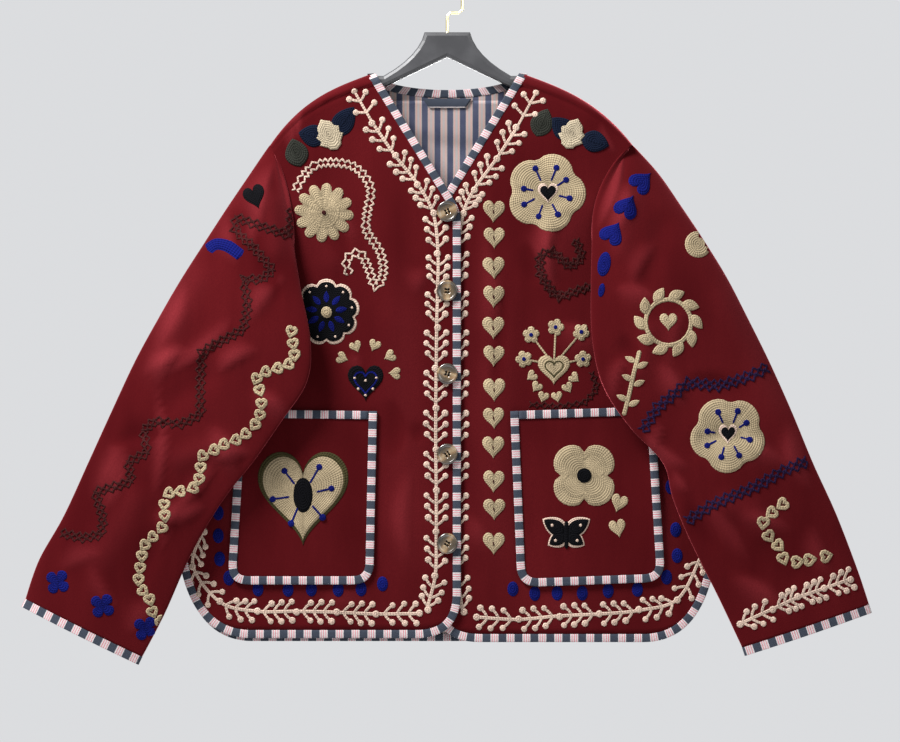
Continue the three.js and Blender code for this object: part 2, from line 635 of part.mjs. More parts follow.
// The tape down a pocket's outer side, along its foot and up its inner side.
function makePocketEdgeBinding(name) {
  const curves = pocketCurves(name);
  const legs = [
    { curve: curves.outSide, from: 0, to: 1, end: 0.32, steps: 5 },
    { curve: curves.outCorner, from: 0, to: 1, end: 0.38, steps: 4 },
    { curve: curves.foot, from: 0, to: 1, end: 0.62, steps: 4 },
    { curve: curves.inCorner, from: 0, to: 1, end: 0.68, steps: 4 },
    { curve: curves.inSide, from: 0, to: 1, end: 1, steps: 5 },
  ];
  return pocketTape(name, route(legs), stepsOf(legs));
}

// The tape across a pocket's top, between the ends of the other one.
function makePocketTopBinding(name) {
  const { top } = pocketCurves(name);
  const end = BOUND_INSET / top.getLength();
  return pocketTape(name, (share, distance) => inset(top, lerp(end, 1 - end, share), distance), even(6));
}

function pocketTape(name, way, shares) {
  const side = SIDES[name];
  const place = (s, w) => {
    const at = way(s, w * BINDING_WIDTH);
    return frontPoint(side, side.sign * at.x, at.y, VELVET_WALL / 2 + LYING_GAP + BINDING_WALL / 2);
  };
  return clothWall(shares, [0, 1], place, BINDING_WALL);
}

function makeLining() {
  const into = -VELVET_WALL / 2 - LYING_GAP - LINING_WALL / 2;
  const place = (u, v) => {
    const half = lerp(LINING.halfFoot, LINING.halfTop, v);
    return backPoint(lerp(-half, half, u), lerp(LINING.footZ, LINING.topZ, v), into);
  };
  return clothWall(even(8), even(6), place, LINING_WALL);
}

function makeLoop() {
  const into = -VELVET_WALL / 2 - LYING_GAP - LINING_WALL - GAP - LOOP.wall / 2;
  const place = (u, v) => {
    const half = lerp(LOOP.halfFoot, LOOP.halfTop, v);
    return backPoint(lerp(-half, half, u), LOOP.topZ - LOOP.height * (1 - v), into);
  };
  return clothWall(even(6), even(1), place, LOOP.wall);
}

// A shape in the front view, extruded in depth about the plane y = 0, with its edges rounded off.
function upright(shape, depth, bevel) {
  const options = {
    depth: depth - 2 * bevel,
    bevelEnabled: bevel > 0,
    bevelSize: bevel,
    bevelThickness: bevel,
    bevelOffset: -bevel,
    bevelSegments: 2,
  };
  const geometry = new THREE.ExtrudeGeometry(shape, options);
  geometry.translate(0, 0, bevel - depth / 2);
  return geometry.rotateX(Math.PI / 2);
}

const ringOf = (x, z, radius, sides) => count(sides).map((i) => {
  const angle = (2 * Math.PI * i) / sides;
  return flat([x + radius * Math.cos(angle), z + radius * Math.sin(angle)]);
});

function makeButton(z) {
  const { radius, offset, holes, sides } = BUTTON_HOLE;
  const disc = new THREE.Shape(ringOf(0, 0, BUTTON_RADIUS, BUTTON_SIDES));
  for (const centre of ringOf(0, 0, offset, holes)) {
    const turned = centre.rotateAround(flat([0, 0]), Math.PI / holes);
    disc.holes.push(new THREE.Path(ringOf(turned.x, turned.y, radius, sides)));
  }
  const seat = frontPoint(SIDES.right, 0, z, BINDING_WALL / 2 + BUTTON_STAND + BUTTON_THICK / 2);
  return upright(disc, BUTTON_THICK, 0).translate(seat.x, seat.y, seat.z);
}

function makeHanger() {
  const { halfTop, topZ, neckHandle, armStart, thick, bevel, tipX, armHeight, tipHeight, apexZ } = HANGER;
  const arm = even(8, HALF_NECK, tipX);
  const neck = bend([halfTop, topZ], neckHandle, armStart);
  const upper = [...neck.getPoints(6), ...arm.map((x) => flat([x, hangerTop(x)]))];
  const lower = [
    flat([tipX, hangerTop(tipX) - tipHeight]),
    ...arm.slice(0, -1).reverse().map((x) => flat([x, hangerTop(x) - armHeight])),
    flat([0, apexZ]),
  ];
  const half = [...upper, ...lower];
  const shape = new THREE.Shape([...half, ...half.slice(0, -1).reverse().map(mirrored)]);
  return upright(shape, thick, bevel);
}

// The arms follow the lower of the two shoulders' lines.
const hangerTop = (x) => Math.min(shoulderZ(SIDES.right, x), shoulderZ(SIDES.left, x)) - HANGER.armDrop;

function makeHook() {
  const { wire, jogZ, halfWidth, bend: radius, tipZ } = HOOK;
  const corners = [
    [0, HANGER.topZ + GAP],
    [0, jogZ],
    [halfWidth, jogZ],
    [halfWidth, wire],
    [-halfWidth, wire],
    [-halfWidth, tipZ],
  ].map(([x, z]) => new THREE.Vector3(x, 0, z));
  const path = new THREE.CurvePath();
  let from = corners[0];
  for (let i = 1; i < corners.length - 1; i += 1) {
    const [corner, next] = [corners[i], corners[i + 1]];
    const into = corner.clone().addScaledVector(corner.clone().sub(from).normalize(), -radius);
    const out = corner.clone().addScaledVector(next.clone().sub(corner).normalize(), radius);
    path.add(new THREE.LineCurve3(from, into));
    path.add(new THREE.QuadraticBezierCurve3(into, corner, out));
    from = out;
  }
  path.add(new THREE.LineCurve3(from, corners[corners.length - 1]));
  const section = new THREE.Shape().absarc(0, 0, wire, 0, 2 * Math.PI);
  const options = { steps: 30, curveSegments: 4, bevelEnabled: false, extrudePath: path };
  return new THREE.ExtrudeGeometry(section, options);
}

const blazer = new THREE.Group();
function add(name, geometry, material) {
  const mesh = new THREE.Mesh(geometry, material);
  mesh.name = name;
  blazer.add(mesh);
}

add("back", makeBack(), VELVET);
add("back_lining", makeLining(), STRIPED);
add("hanging_loop", makeLoop(), TAPE);
add("back_neck_binding", makeBackNeckBinding(), TAPE);
add("back_hem_binding", makeBackHemBinding(), TAPE);
for (const name of Object.keys(SIDES)) {
  add(`front_${name}`, makeFront(name), VELVET);
  add(`front_binding_${name}`, makeFrontBinding(name), TAPE);
  add(`pocket_${name}`, makePocket(name), VELVET);
  add(`pocket_edge_binding_${name}`, makePocketEdgeBinding(name), TAPE);
  add(`pocket_top_binding_${name}`, makePocketTopBinding(name), TAPE);
  add(`sleeve_${name}`, makeSleeve(name), VELVET);
  add(`cuff_binding_${name}`, makeCuffBinding(name), TAPE);
}
BUTTON_ZS.forEach((z, i) => add(`button_${i + 1}`, makeButton(z), HORN));
add("hanger", makeHanger(), PLASTIC);
add("hook", makeHook(), BRASS);

export default blazer;
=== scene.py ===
"""Dresses the embroidered blazer: velvet, lining, tape, embroidery, horn buttons and its hanger.

Sizes inside the functions are in millimetres. A mesh gets metres when its vertices are placed.
Right is at -X and left at +X. +Z is up, the front faces -Y, and the blazer hangs from the origin.
"""
import math

import bmesh
import bpy
from bpy.props import FloatProperty, FloatVectorProperty, PointerProperty
from mathutils import Matrix, Vector
from mathutils.bvhtree import BVHTree


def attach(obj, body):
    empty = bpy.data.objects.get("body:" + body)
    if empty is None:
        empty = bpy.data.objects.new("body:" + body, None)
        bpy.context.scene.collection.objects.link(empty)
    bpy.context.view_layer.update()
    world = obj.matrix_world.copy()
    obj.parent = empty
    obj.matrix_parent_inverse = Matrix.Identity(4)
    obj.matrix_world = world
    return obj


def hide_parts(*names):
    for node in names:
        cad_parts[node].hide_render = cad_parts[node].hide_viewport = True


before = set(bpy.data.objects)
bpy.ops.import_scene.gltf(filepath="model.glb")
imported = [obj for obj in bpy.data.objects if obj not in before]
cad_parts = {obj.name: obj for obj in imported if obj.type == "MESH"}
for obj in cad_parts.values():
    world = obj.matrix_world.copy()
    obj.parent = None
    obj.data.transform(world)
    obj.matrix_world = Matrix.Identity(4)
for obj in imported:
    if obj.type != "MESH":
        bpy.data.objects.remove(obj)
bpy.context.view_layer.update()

bl_info = {
    "name": "Embroidered blazer",
    "version": (1, 0, 0),
    "blender": (4, 5, 0),
    "location": "3D View > Sidebar > Blazer",
    "description": "Velvet blazer with chain-stitch embroidery, striped tape edges and horn buttons",
    "category": "Object",
}

MM = 0.001
JOINED = 1e-6  # vertices nearer than this, in metres, become one


# Sizes and colours that a user may change.


class ClothSizes(bpy.types.PropertyGroup):
    velvet_wall: FloatProperty(
        name="Velvet", description="Thickness of velvet with lining", default=1.8 * MM, unit="LENGTH"
    )
    pocket_wall: FloatProperty(
        name="Pocket", description="Thickness of a pocket", default=1.6 * MM, unit="LENGTH"
    )
    crease: FloatProperty(
        name="Creases", description="Depth of the fine creases", default=2.3, subtype="FACTOR"
    )
    lining_stripe: FloatProperty(
        name="Lining stripe", description="Repeat of its stripes", default=14 * MM, unit="LENGTH"
    )


class TapeSizes(bpy.types.PropertyGroup):
    width: FloatProperty(
        name="Width", description="Width of the striped tape", default=9 * MM, unit="LENGTH"
    )
    wall: FloatProperty(
        name="Thickness", description="Thickness of the tape as folded", default=3.2 * MM, unit="LENGTH"
    )
    repeat: FloatProperty(
        name="Repeat", description="One dark and one white block", default=17.5 * MM, unit="LENGTH"
    )


class StitchSizes(bpy.types.PropertyGroup):
    row: FloatProperty(
        name="Row", description="Width of a row of chain stitch", default=2.4 * MM, unit="LENGTH"
    )
    chain: FloatProperty(
        name="Chain", description="Length of one stitch", default=3.0 * MM, unit="LENGTH"
    )
    raised: FloatProperty(
        name="Raised", description="Height of thread above velvet", default=0.9 * MM, unit="LENGTH"
    )


def colour(label, about, value):
    return FloatVectorProperty(
        name=label, description=about, default=value, size=3, min=0.0, max=1.0, subtype="COLOR"
    )


class Colours(bpy.types.PropertyGroup):
    velvet: colour("Velvet", "Velvet in full light", (0.037, 0.0027, 0.0034))
    # Partly painted shade: the pile's own darker tone, also used in tall streaks that stand in for the
    # pile's changing sheen.
    velvet_pile_tone_and_shade: colour("Velvet, deep", "Velvet where the pile leans away", (0.021, 0.0013, 0.0017))
    # Painted highlight: lighter velvet laid on the ridges of folds and creases, where light would catch
    # them.
    velvet_ridge_highlight: colour("Velvet, ridge highlight", "Velvet on the ridges of folds", (0.078, 0.0085, 0.0105))
    tape_dark: colour("Tape, dark", "Dark block of the tape", (0.0095, 0.0135, 0.023))
    tape_white: colour("Tape, white", "White block of the tape", (0.26, 0.235, 0.235))
    tape_line: colour("Tape, lines", "Fine lines in the white block", (0.25, 0.05, 0.07))
    lining_dark: colour("Lining, dark", "Dark stripe of the lining", (0.011, 0.014, 0.032))
    lining_light: colour("Lining, light", "Light stripe of the lining", (0.15, 0.125, 0.112))
    plastic: colour("Hanger", "Plastic of the hanger", (0.015, 0.015, 0.0165))
    metal: colour("Hook", "Metal of the hook", (0.62, 0.55, 0.33))


class StageSizes(bpy.types.PropertyGroup):
    distance: FloatProperty(
        name="Camera distance", description="From the camera to the blazer", default=5.0, unit="LENGTH"
    )
    view_width: FloatProperty(
        name="View width", description="What the camera sees at the blazer", default=0.99, unit="LENGTH"
    )
    light: FloatProperty(
        name="Light", description="Power of the main light", default=430.0, unit="POWER"
    )


class BlazerSettings(bpy.types.PropertyGroup):
    cloth: PointerProperty(name="Cloth", description="Sizes of the cloth", type=ClothSizes)
    tape: PointerProperty(name="Tape", description="Sizes of the tape", type=TapeSizes)
    stitch: PointerProperty(name="Stitches", description="Sizes of the embroidery", type=StitchSizes)
    colours: PointerProperty(name="Colours", description="Colours of the finishes", type=Colours)
    stage: PointerProperty(name="Stage", description="Camera and light", type=StageSizes)


def settings():
    return bpy.context.scene.blazer


# The cut of the blazer, in millimetres.

VELVET_WALL = 1.8
LYING_GAP = 0.7
GAP = 0.35
BINDING_WIDTH = 9
BINDING_WALL = 3.2
UNDER_TAPE = 6.5  # how far inside the outline a bound panel ends, out of sight inside its tape

SHOULDER_DEPTH = 10
SHOULDER_ROLL = 9
EXTRA_DEPTH = 4.5
EXTRA_DROP = 110
SIDE_ROLL = 22
HALF_NECK = 79
NECK_Z = -115.5
NECK_SLOPE = 0.36
TIP_Z = -195
SHOULDER_POWER = 3.3
UNDERARM = (244, -409)
SLIT_TOP = (297, -628)
SIDE_CORNER_X = 215
FRONT_CORNER = 50
FRONT_OVERLAP = 15
LAP_DEPTH = 1.9
LAP_FADE = 34
V_POINT = (-FRONT_OVERLAP, -267)
V_ROUND = 15
SLIT_OPEN = 12
SLIT_FADE = 40
BACK_HEM_Z = -741
BACK_NECK_HANDLE = (64, -139)
BACK_HANDLES = ((166, -285), (190, -395))
FRONT_MITRE = 0.19
BACK_MITRE = 0.54
FADE_DROP, FADE_ROOM = 60, 40  # folds fade out this near to a shoulder and to a side
SEAM_BELOW = (10, 3.5)  # how far a shoulder's seam lies below its top, at the neck and at the tip
SEAM_FORM = ((1.5, 0, 1.7), (-0.9, 4, 2))  # ridge and groove: height, place below it, half width

SIDES = {
    "right": {"sign": -1, "tip": 194, "hem": -736, "handles": ((150, -290), (165, -395))},
    "left": {"sign": 1, "tip": 203, "hem": -740.4, "handles": ((125, -265), (162, -392))},
}

# Soft folds, each from (x1, z1) to (x2, z2) with its half width and how far it stands out.
FRONT_FOLDS = [
    (-50, -300, -44, -700, 24, 3.0), (-178, -232, -112, -345, 24, 2.6),
    (-150, -440, -158, -720, 30, 1.8), (-214, -420, -236, -700, 26, 2.0),
    (46, -300, 56, -700, 24, 2.8), (160, -240, 104, -345, 24, 2.8), (126, -440, 132, -720, 30, 1.6),
    (212, -420, 232, -700, 26, 2.0),
]
BACK_FOLDS = [
    (-18, -340, -36, -720, 34, 5.0), (62, -345, 84, -720, 34, 4.4),
    (-118, -300, -138, -720, 34, 4.0), (156, -320, 172, -720, 34, 3.4),
]
SLEEVE_FOLDS = [
    (-196, -240, -184, -330, 11, 3.2), (-232, -262, -210, -362, 13, -2.6),
    (-262, -310, -330, -470, 15, 3.6), (-240, -430, -330, -500, 14, -3.0),
    (-225, -515, -310, -545, 13, 3.2), (-330, -560, -390, -670, 15, 2.6),
    (205, -235, 184, -330, 11, 3.2), (240, -262, 210, -370, 13, -2.6),
    (206, -460, 224, -380, 13, 3.6), (260, -530, 330, -500, 12, -3.4),
    (290, -330, 372, -510, 16, 3.0), (285, -585, 350, -600, 13, 3.0),
    (340, -620, 390, -680, 15, -2.4),
]

# Creases that each cloth got by hanging and by being sewn, placed one by one. Every other one bows the
# other way, by CREASE_BOW of its length. Their two sides are wider and narrower than their half width.
CREASE_BOW, CREASE_SOFT, CREASE_STEEP = 0.07, 1.7, 0.75
FRONT_CREASES = [
    (-40, -552, -42, -655, 6, 1.1), (-62, -470, -57, -540, 9, -0.9),
    (-128, -236, -96, -302, 8, 1.3), (-142, -262, -104, -330, 6, -0.9),
    (-112, -372, -168, -404, 9, 1.2), (-178, -425, -205, -468, 8, -1.0),
    (-84, -690, -140, -712, 9, 0.8), (-232, -520, -238, -640, 8, 1.1),
    (-20, -330, -36, -360, 7, 0.8), (-24, -500, -38, -520, 6, -0.7), (112, -262, 119, -362, 8, 1.6),
    (88, -300, 96, -350, 7, -1.0), (140, -250, 108, -318, 6, 1.1), (36, -270, 41, -470, 7, 1.0),
    (66, -352, 60, -470, 8, -0.9), (118, -392, 172, -420, 9, 1.2), (182, -432, 208, -470, 7, -0.9),
    (98, -700, 160, -716, 9, 0.8), (236, -500, 240, -650, 8, 1.2), (24, -600, 40, -640, 7, 0.8),
    (-159, -157, -163, -190, 3.5, 1.2), (-172, -172, -173, -200, 3.5, 1.0),
    (168, -170, 186, -204, 4, 1.0), (-104, -420, -98, -450, 5, 0.8),
]
BACK_CREASES = [
    (-176, -250, -70, -312, 13, 1.8), (-196, -330, -120, -352, 10, -1.4),
    (184, -262, 88, -300, 12, 1.7), (202, -338, 128, -368, 11, 1.3), (-40, -185, 46, -196, 12, 1.2),
    (-92, -420, -100, -600, 12, -1.5), (30, -430, 44, -640, 13, -1.7),
    (122, -460, 126, -690, 10, 1.4), (-190, -470, -206, -660, 12, 1.6),
    (-228, -432, -150, -470, 10, 1.3), (236, -440, 170, -488, 11, 1.4),
    (210, -540, 224, -690, 9, -1.2), (-60, -600, -66, -715, 9, 1.2), (8, -300, 4, -410, 12, 1.1),
]
SLEEVE_CREASES = [
    (-190, -214, -206, -300, 7, 1.6), (-222, -300, -180, -372, 6, -1.3),
    (-176, -338, -216, -392, 7, 1.6), (-286, -342, -318, -420, 8, 1.5),
    (-206, -418, -252, -446, 6, 1.7), (-212, -462, -170, -500, 7, 1.8),
    (-280, -420, -334, -448, 6, 1.1), (-258, -500, -230, -560, 7, 1.4),
    (-300, -512, -370, -524, 8, -1.5), (-262, -590, -322, -604, 7, 1.6),
    (-300, -600, -336, -690, 8, -1.2), (-352, -520, -376, -600, 7, 1.4),
    (-374, -640, -424, -660, 7, 1.0), (-322, -690, -350, -730, 7, 1.2),
    (-240, -268, -226, -330, 6, 1.2), (200, -236, 178, -300, 7, 1.5),
    (232, -300, 200, -352, 6, 1.2), (182, -352, 232, -366, 7, 1.4), (190, -400, 214, -430, 6, -1.3),
    (230, -432, 258, -482, 7, 1.7), (214, -510, 266, -548, 6, 1.6), (258, -450, 330, -468, 8, -1.4),
    (334, -300, 352, -372, 6, 1.0), (302, -520, 372, -545, 7, 1.5), (262, -575, 300, -640, 7, -1.3),
    (318, -600, 376, -616, 7, 1.4), (380, -500, 398, -575, 7, 1.2), (310, -665, 372, -708, 8, 1.4),
    (398, -610, 420, -668, 7, 1.1), (-191, -206, -167, -326, 4.5, 1.5),
    (-212, -273, -209, -311, 4, 0.9), (-233, -384, -311, -447, 5, 1.6),
    (-288, -414, -319, -458, 5, 1.4), (-318, -453, -319, -584, 4.5, 1.6),
    (-212, -533, -254, -541, 5, 1.5), (-250, -537, -299, -595, 4.5, 1.3),
    (-294, -587, -313, -645, 5, 1.3), (-358, -508, -388, -584, 6, 0.9),
    (-390, -650, -358, -704, 5, 0.8), (193, -194, 163, -290, 4.5, 1.5),
    (197, -423, 180, -477, 4.5, 1.4), (233, -497, 220, -532, 4, 1.3),
    (247, -549, 265, -575, 4, 1.2), (333, -311, 350, -357, 6, 1.0), (265, -366, 241, -444, 6, 0.9),
    (276, -584, 328, -650, 6, 0.9), (374, -497, 385, -562, 5, 0.8),
]
SLEEVE_BACK_CREASES = [
    (-238, -280, -270, -372, 10, 2.0), (-206, -330, -292, -352, 9, 1.6),
    (-300, -400, -342, -492, 10, 2.2), (-250, -450, -352, -486, 9, -1.8),
    (-278, -520, -372, -538, 9, 2.0), (-300, -570, -352, -660, 10, 1.7),
    (-372, -580, -410, -676, 9, 1.8), (-328, -664, -400, -692, 8, -1.2),
    (228, -270, 262, -380, 10, 2.0), (212, -342, 300, -360, 8, -1.5),
    (276, -390, 330, -470, 10, 2.1), (240, -462, 346, -502, 9, 1.9), (300, -512, 384, -556, 9, 1.8),
    (286, -600, 352, -618, 9, 1.7), (366, -590, 402, -690, 9, -1.6), (320, -640, 344, -712, 8, 1.5),
]

SLEEVE_COLUMNS = (
    "seam", "fold_x", "fold_z", "fold_y", "outer_x", "outer_z", "outer_y", "front", "back", "under",
)
SLEEVES = {
    "right": [
        (0.01, -190.5, -201, -4, -194, -196, 0, 1, 1, 0.3),
        (0.1, -187, -214, -10, -197, -198.5, 0, 2, 2, 0.3),
        (0.26, -176, -262, -21, -219, -231, -2, 11, 7, 0.3),
        (0.4, -169, -306, -28, -243, -267, -6, 14, 8, 0.3),
        (0.56, -161, -352, -36, -268, -306, -10, 15, 9, 0.3),
        (0.77, -150, -410, -43, -292, -344, -13, 16, 10, 0.3),
        (1, -154, -455, -44, -315, -384, -16, 16, 10, 0.3),
        (1.6, -182, -498, -42, -341, -432, -19, 15, 8, 0.3),
        (2, -212, -541, -41, -367, -488, -22, 14, 6, 0.28),
        (2, -245, -583, -40, -391, -541, -24, 13, 6, 0.24),
        (2, -279, -640, -38, -419, -602, -24, 12, 7, 0.2),
        (2, -309, -707, -36, -446, -650, -24, 12, 8, 0.18),
        (2, -334, -755, -36, -461, -693, -24, 12, 9, 0.16),
    ],
    "left": [
        (0.01, 198.5, -201, -4, 203, -196, 0, 1, 1, 0.3),
        (0.1, 190, -214, -10, 206.5, -198.5, 0, 2, 2, 0.3),
        (0.26, 168, -260, -21, 232, -227, -2, 11, 7, 0.3),
        (0.4, 161, -304, -28, 256, -262, -6, 14, 8, 0.3),
        (0.56, 158, -350, -36, 281, -300, -10, 15, 9, 0.3),
        (0.77, 159, -410, -43, 306, -341, -13, 16, 10, 0.3),
        (1, 171, -460, -44, 330, -388, -16, 16, 10, 0.3),
        (1.6, 200, -504, -42, 353, -435, -19, 15, 8, 0.3),
        (2, 236, -543, -41, 377, -489, -22, 14, 6, 0.28),
        (2, 247, -582, -40, 400, -545, -24, 13, 6, 0.24),
        (2, 266, -628, -38, 425, -600, -24, 12, 7, 0.2),
        (2, 297, -690, -36, 448, -660, -24, 12, 8, 0.18),
        (2, 323, -745, -36, 461, -699, -24, 12, 9, 0.16),
    ],
}
SEAM_TUCK = 1.0  # how far a sleeve's edge lies over the body's edge
TURN_Y = -23
ARMPIT_OUT, ARMPIT_DROP, ARMPIT_Y = 12, 7, -30
FOLD_SHARE, OUTER_SHARE = 2 / 6, 4 / 6

POCKETS = {
    "right": ((229, -485), (77, -487), (81, -677), (241, -677)),
    "left": ((227, -482), (69, -487), (77, -680), (239, -674)),
}
POCKET_CORNER = 24
POCKET_WALL = 1.6

BUTTON_ZS = (-268, -355, -446, -534, -632)
BUTTON_RADIUS = 11.5
BUTTON_THICK = 3.6
BUTTON_STAND = 0.4

LINING_HALF_TOP, LINING_HALF_FOOT, LINING_TOP, LINING_FOOT, LINING_WALL = 84, 40, -145, -330, 1.0
LOOP_HALF_TOP, LOOP_HALF_FOOT, LOOP_TOP, LOOP_HEIGHT = 27, 20, -143, 10
LOOP_ROOM, LOOP_WALL, LOOP_BELLY = 1.4, 1.0, 0.5  # LOOP_ROOM is the depth that the loop lies in

CUFF_STEPS = (-0.6, 0.6, 2.5, 5, 7.5, 9)  # rows of the cuff's tape, from the sleeve's end outwards
CUFF_WALL, CUFF_BEVEL = 2.3, 0.7
FOLD_LIGHT_SHARE, FOLD_LIGHT_FULL = 0.3, 6  # the soft folds' share in the velvet's painted highlight and shade, and the height at which they are full


def lerp(a, b, t):
    return a + (b - a) * t


def clamp01(t):
    return min(max(t, 0.0), 1.0)


def smooth(t):
    t = clamp01(t)
    return t * t * (3 - 2 * t)


def rolled(distance, radius):
    return math.sqrt(1 - (1 - clamp01(distance / radius)) ** 2)


def even(steps, start=0.0, end=1.0):
    return [lerp(start, end, i / steps) for i in range(steps + 1)]


def shares_to(*parts):
    """Shares from 0 up, in parts of (number of steps, end)."""
    shares, start = [0.0], 0.0
    for steps, end in parts:
        shares += even(steps, start, end)[1:]
        start = end
    return shares


def fold_height(folds, x, z):
    """Height at (x, z) of a list of soft ridges, each fading at its ends."""
    total = 0.0
    for x1, z1, x2, z2, width, height in folds:
        run_x, run_z = x2 - x1, z2 - z1
        share = clamp01(((x - x1) * run_x + (z - z1) * run_z) / (run_x * run_x + run_z * run_z))
        away = math.hypot(x - x1 - share * run_x, z - z1 - share * run_z)
        if away < 3 * width:
            ends = smooth(share * 4) * smooth((1 - share) * 4)
            total += height * ends * math.exp(-((away / width) ** 2))
    return total


def crease_height(creases, x, z):
    """Height at (x, z) of slender, bowed creases, steep on one side and soft on the other."""
    total, bend = 0.0, CREASE_BOW
    for x1, z1, x2, z2, width, height in creases:
        bend = -bend
        run_x, run_z = x2 - x1, z2 - z1
        length = math.hypot(run_x, run_z)
        share = ((x - x1) * run_x + (z - z1) * run_z) / length**2
        if 0 < share < 1:
            bow = math.sin(math.pi * share)
            side = ((x - x1) * run_z - (z - z1) * run_x) / length + bend * length * bow
            reach = width * (0.4 + 0.8 * bow) * (CREASE_SOFT if side > 0 else CREASE_STEEP)
            if abs(side) < 3 * reach:
                total += height * bow * math.exp(-((side / reach) ** 2))
    return settings().cloth.crease * total


# The flattened body: a panel's depth follows from its place in the front view.


def shoulder_z(side, x):
    run = min(x, side["tip"]) - HALF_NECK
    length = side["tip"] - HALF_NECK
    fall = NECK_Z - TIP_Z - NECK_SLOPE * length
    return NECK_Z - NECK_SLOPE * run - fall * max(run / length, 0) ** SHOULDER_POWER


def side_x(z):
    return lerp(UNDERARM[0], SLIT_TOP[0], clamp01((UNDERARM[1] - z) / (UNDERARM[1] - SLIT_TOP[1])))


def side_of(x):
    return SIDES["right"] if x < 0 else SIDES["left"]


def half_depth(x, z):
    drop = shoulder_z(side_of(x), abs(x)) - z
    if z < UNDERARM[1]:
        room = side_x(z) - abs(x)
    else:
        room = math.hypot(UNDERARM[0] - abs(x), z - UNDERARM[1])
    opened = SLIT_OPEN * smooth((SLIT_TOP[1] - z) / SLIT_FADE)
    body = SHOULDER_DEPTH * rolled(drop, SHOULDER_ROLL) + EXTRA_DEPTH * smooth(drop / EXTRA_DROP)
    return GAP / 2 + body * rolled(max(room, 0) + opened, SIDE_ROLL)


def fold_fade(x, z):
    drop = shoulder_z(side_of(x), abs(x)) - z
    room = (side_x(z) if z < UNDERARM[1] else UNDERARM[0]) - abs(x)
    return smooth(drop / FADE_DROP) * smooth(room / FADE_ROOM)


def front_point(side, x, z, out=0.0):
    lap = LAP_DEPTH * smooth((FRONT_OVERLAP + LAP_FADE - abs(x)) / LAP_FADE)
    fold = fold_height(FRONT_FOLDS, x, z) + crease_height(FRONT_CREASES, x, z)
    fold = fold * fold_fade(x, z) + seam_ridge(side, abs(x), z)
    return Vector((x, side["sign"] * lap - half_depth(x, z) - fold - out, z))


def seam_ridge(side, x, z):
    """The shoulder seam lies a little to the front, as a ridge with a groove under it."""
    share = clamp01((x - HALF_NECK) / (side["tip"] - HALF_NECK))
    below = shoulder_z(side, x) - z - lerp(*SEAM_BELOW, share)
    return sum(high * math.exp(-(((below - at) / width) ** 2)) for high, at, width in SEAM_FORM)


def back_point(x, z, out=0.0):
    fold = fold_height(BACK_FOLDS, x, z) + crease_height(BACK_CREASES, x, z)
    return Vector((x, half_depth(x, z) + fold * fold_fade(x, z) + out, z))


# Bezier curves in the front view, of any order. Past its ends a curve goes on.


def curve(*points):
    return [Vector(point) for point in points]


def along(points, t):
    """The place and the direction of a curve at t."""
    while len(points) > 2:
        points = [a.lerp(b, t) for a, b in zip(points, points[1:])]
    return points[0].lerp(points[1], t), (points[1] - points[0]).normalized()


def inset(points, t, distance=0.0):
    """A point of a curve, moved to the right of its run."""
    place, _ = along(points, t)
    _, run = along(points, min(max(t, 0.001), 0.999))
    return Vector((place.x + run.y * distance, place.y - run.x * distance))


def route(legs):
    """A way along legs of (curve, from, to, end, mitre). A leg ends at the share end of the way."""

    def way(share, distance=0.0):
        start = 0.0
        for leg in legs:
            if share <= leg[3] or leg is legs[-1]:
                break
            start = leg[3]
        points, first, last, end, mitre = leg
        part = (share - start) / (end - start)
        return inset(points, lerp(first, last + mitre * distance, part), distance)

    return way


def mirrored(point):
    return Vector((-point.x, point.y))


def side_curves(side, hem_z):
    """The curves round one side, as they lie at +X."""
    edge_x = -FRONT_OVERLAP
    v_point = Vector(V_POINT)
    neck = Vector((HALF_NECK, NECK_Z))
    v_start = v_point + (neck - v_point).normalized() * V_ROUND
    edge_top = (edge_x, V_POINT[1] - V_ROUND)
    tip = (side["tip"], TIP_Z)
    inner = edge_x + FRONT_CORNER
    return {
        "slit": curve(SLIT_TOP, (SLIT_TOP[0] - 10, hem_z), (SIDE_CORNER_X, hem_z)),
        "hem": curve((SIDE_CORNER_X, hem_z), (inner, hem_z)),
        "corner": curve((inner, hem_z), (edge_x, hem_z), (edge_x, hem_z + FRONT_CORNER)),
        "edge": curve((edge_x, hem_z + FRONT_CORNER), edge_top),
        "turn": curve(edge_top, V_POINT, v_start),
        "v_neck": curve(v_start, neck),
        "seam": curve(SLIT_TOP, UNDERARM),
        "front_hole": curve(tip, *side["handles"], UNDERARM),
        "back_hole": curve(tip, *BACK_HANDLES, UNDERARM),
    }


SLIT_SHARE, SEWN_SHARE, UNDERARM_SHARE = 0.14, 0.152, 0.52


def side_edge(curves, hole):
    way = route(
        [
            (curves["slit"], 0.5, 0, SLIT_SHARE, 0),
            (curves["seam"], 0, 1, UNDERARM_SHARE, 0),
            (hole, 1, 0, 1, 0),
        ]
    )
    return lambda v: way(v, UNDER_TAPE * clamp01((SEWN_SHARE - v) / (SEWN_SHARE - SLIT_SHARE)))


def net(edges, us, vs):
    """The places between four edges (bottom, top, left, right) that meet: a row for each v."""
    bottom, top, left, right = edges
    low, high = [bottom(u) for u in us], [top(u) for u in us]
    rows = []
    for v in vs:
        near, far = left(v), right(v)
        row = []
        for u, b, t in zip(us, low, high):
            corners = low[0].lerp(low[-1], u).lerp(high[0].lerp(high[-1], u), v)
            row.append(b.lerp(t, v) + near.lerp(far, u) - corners)
        rows.append(row)
    return rows


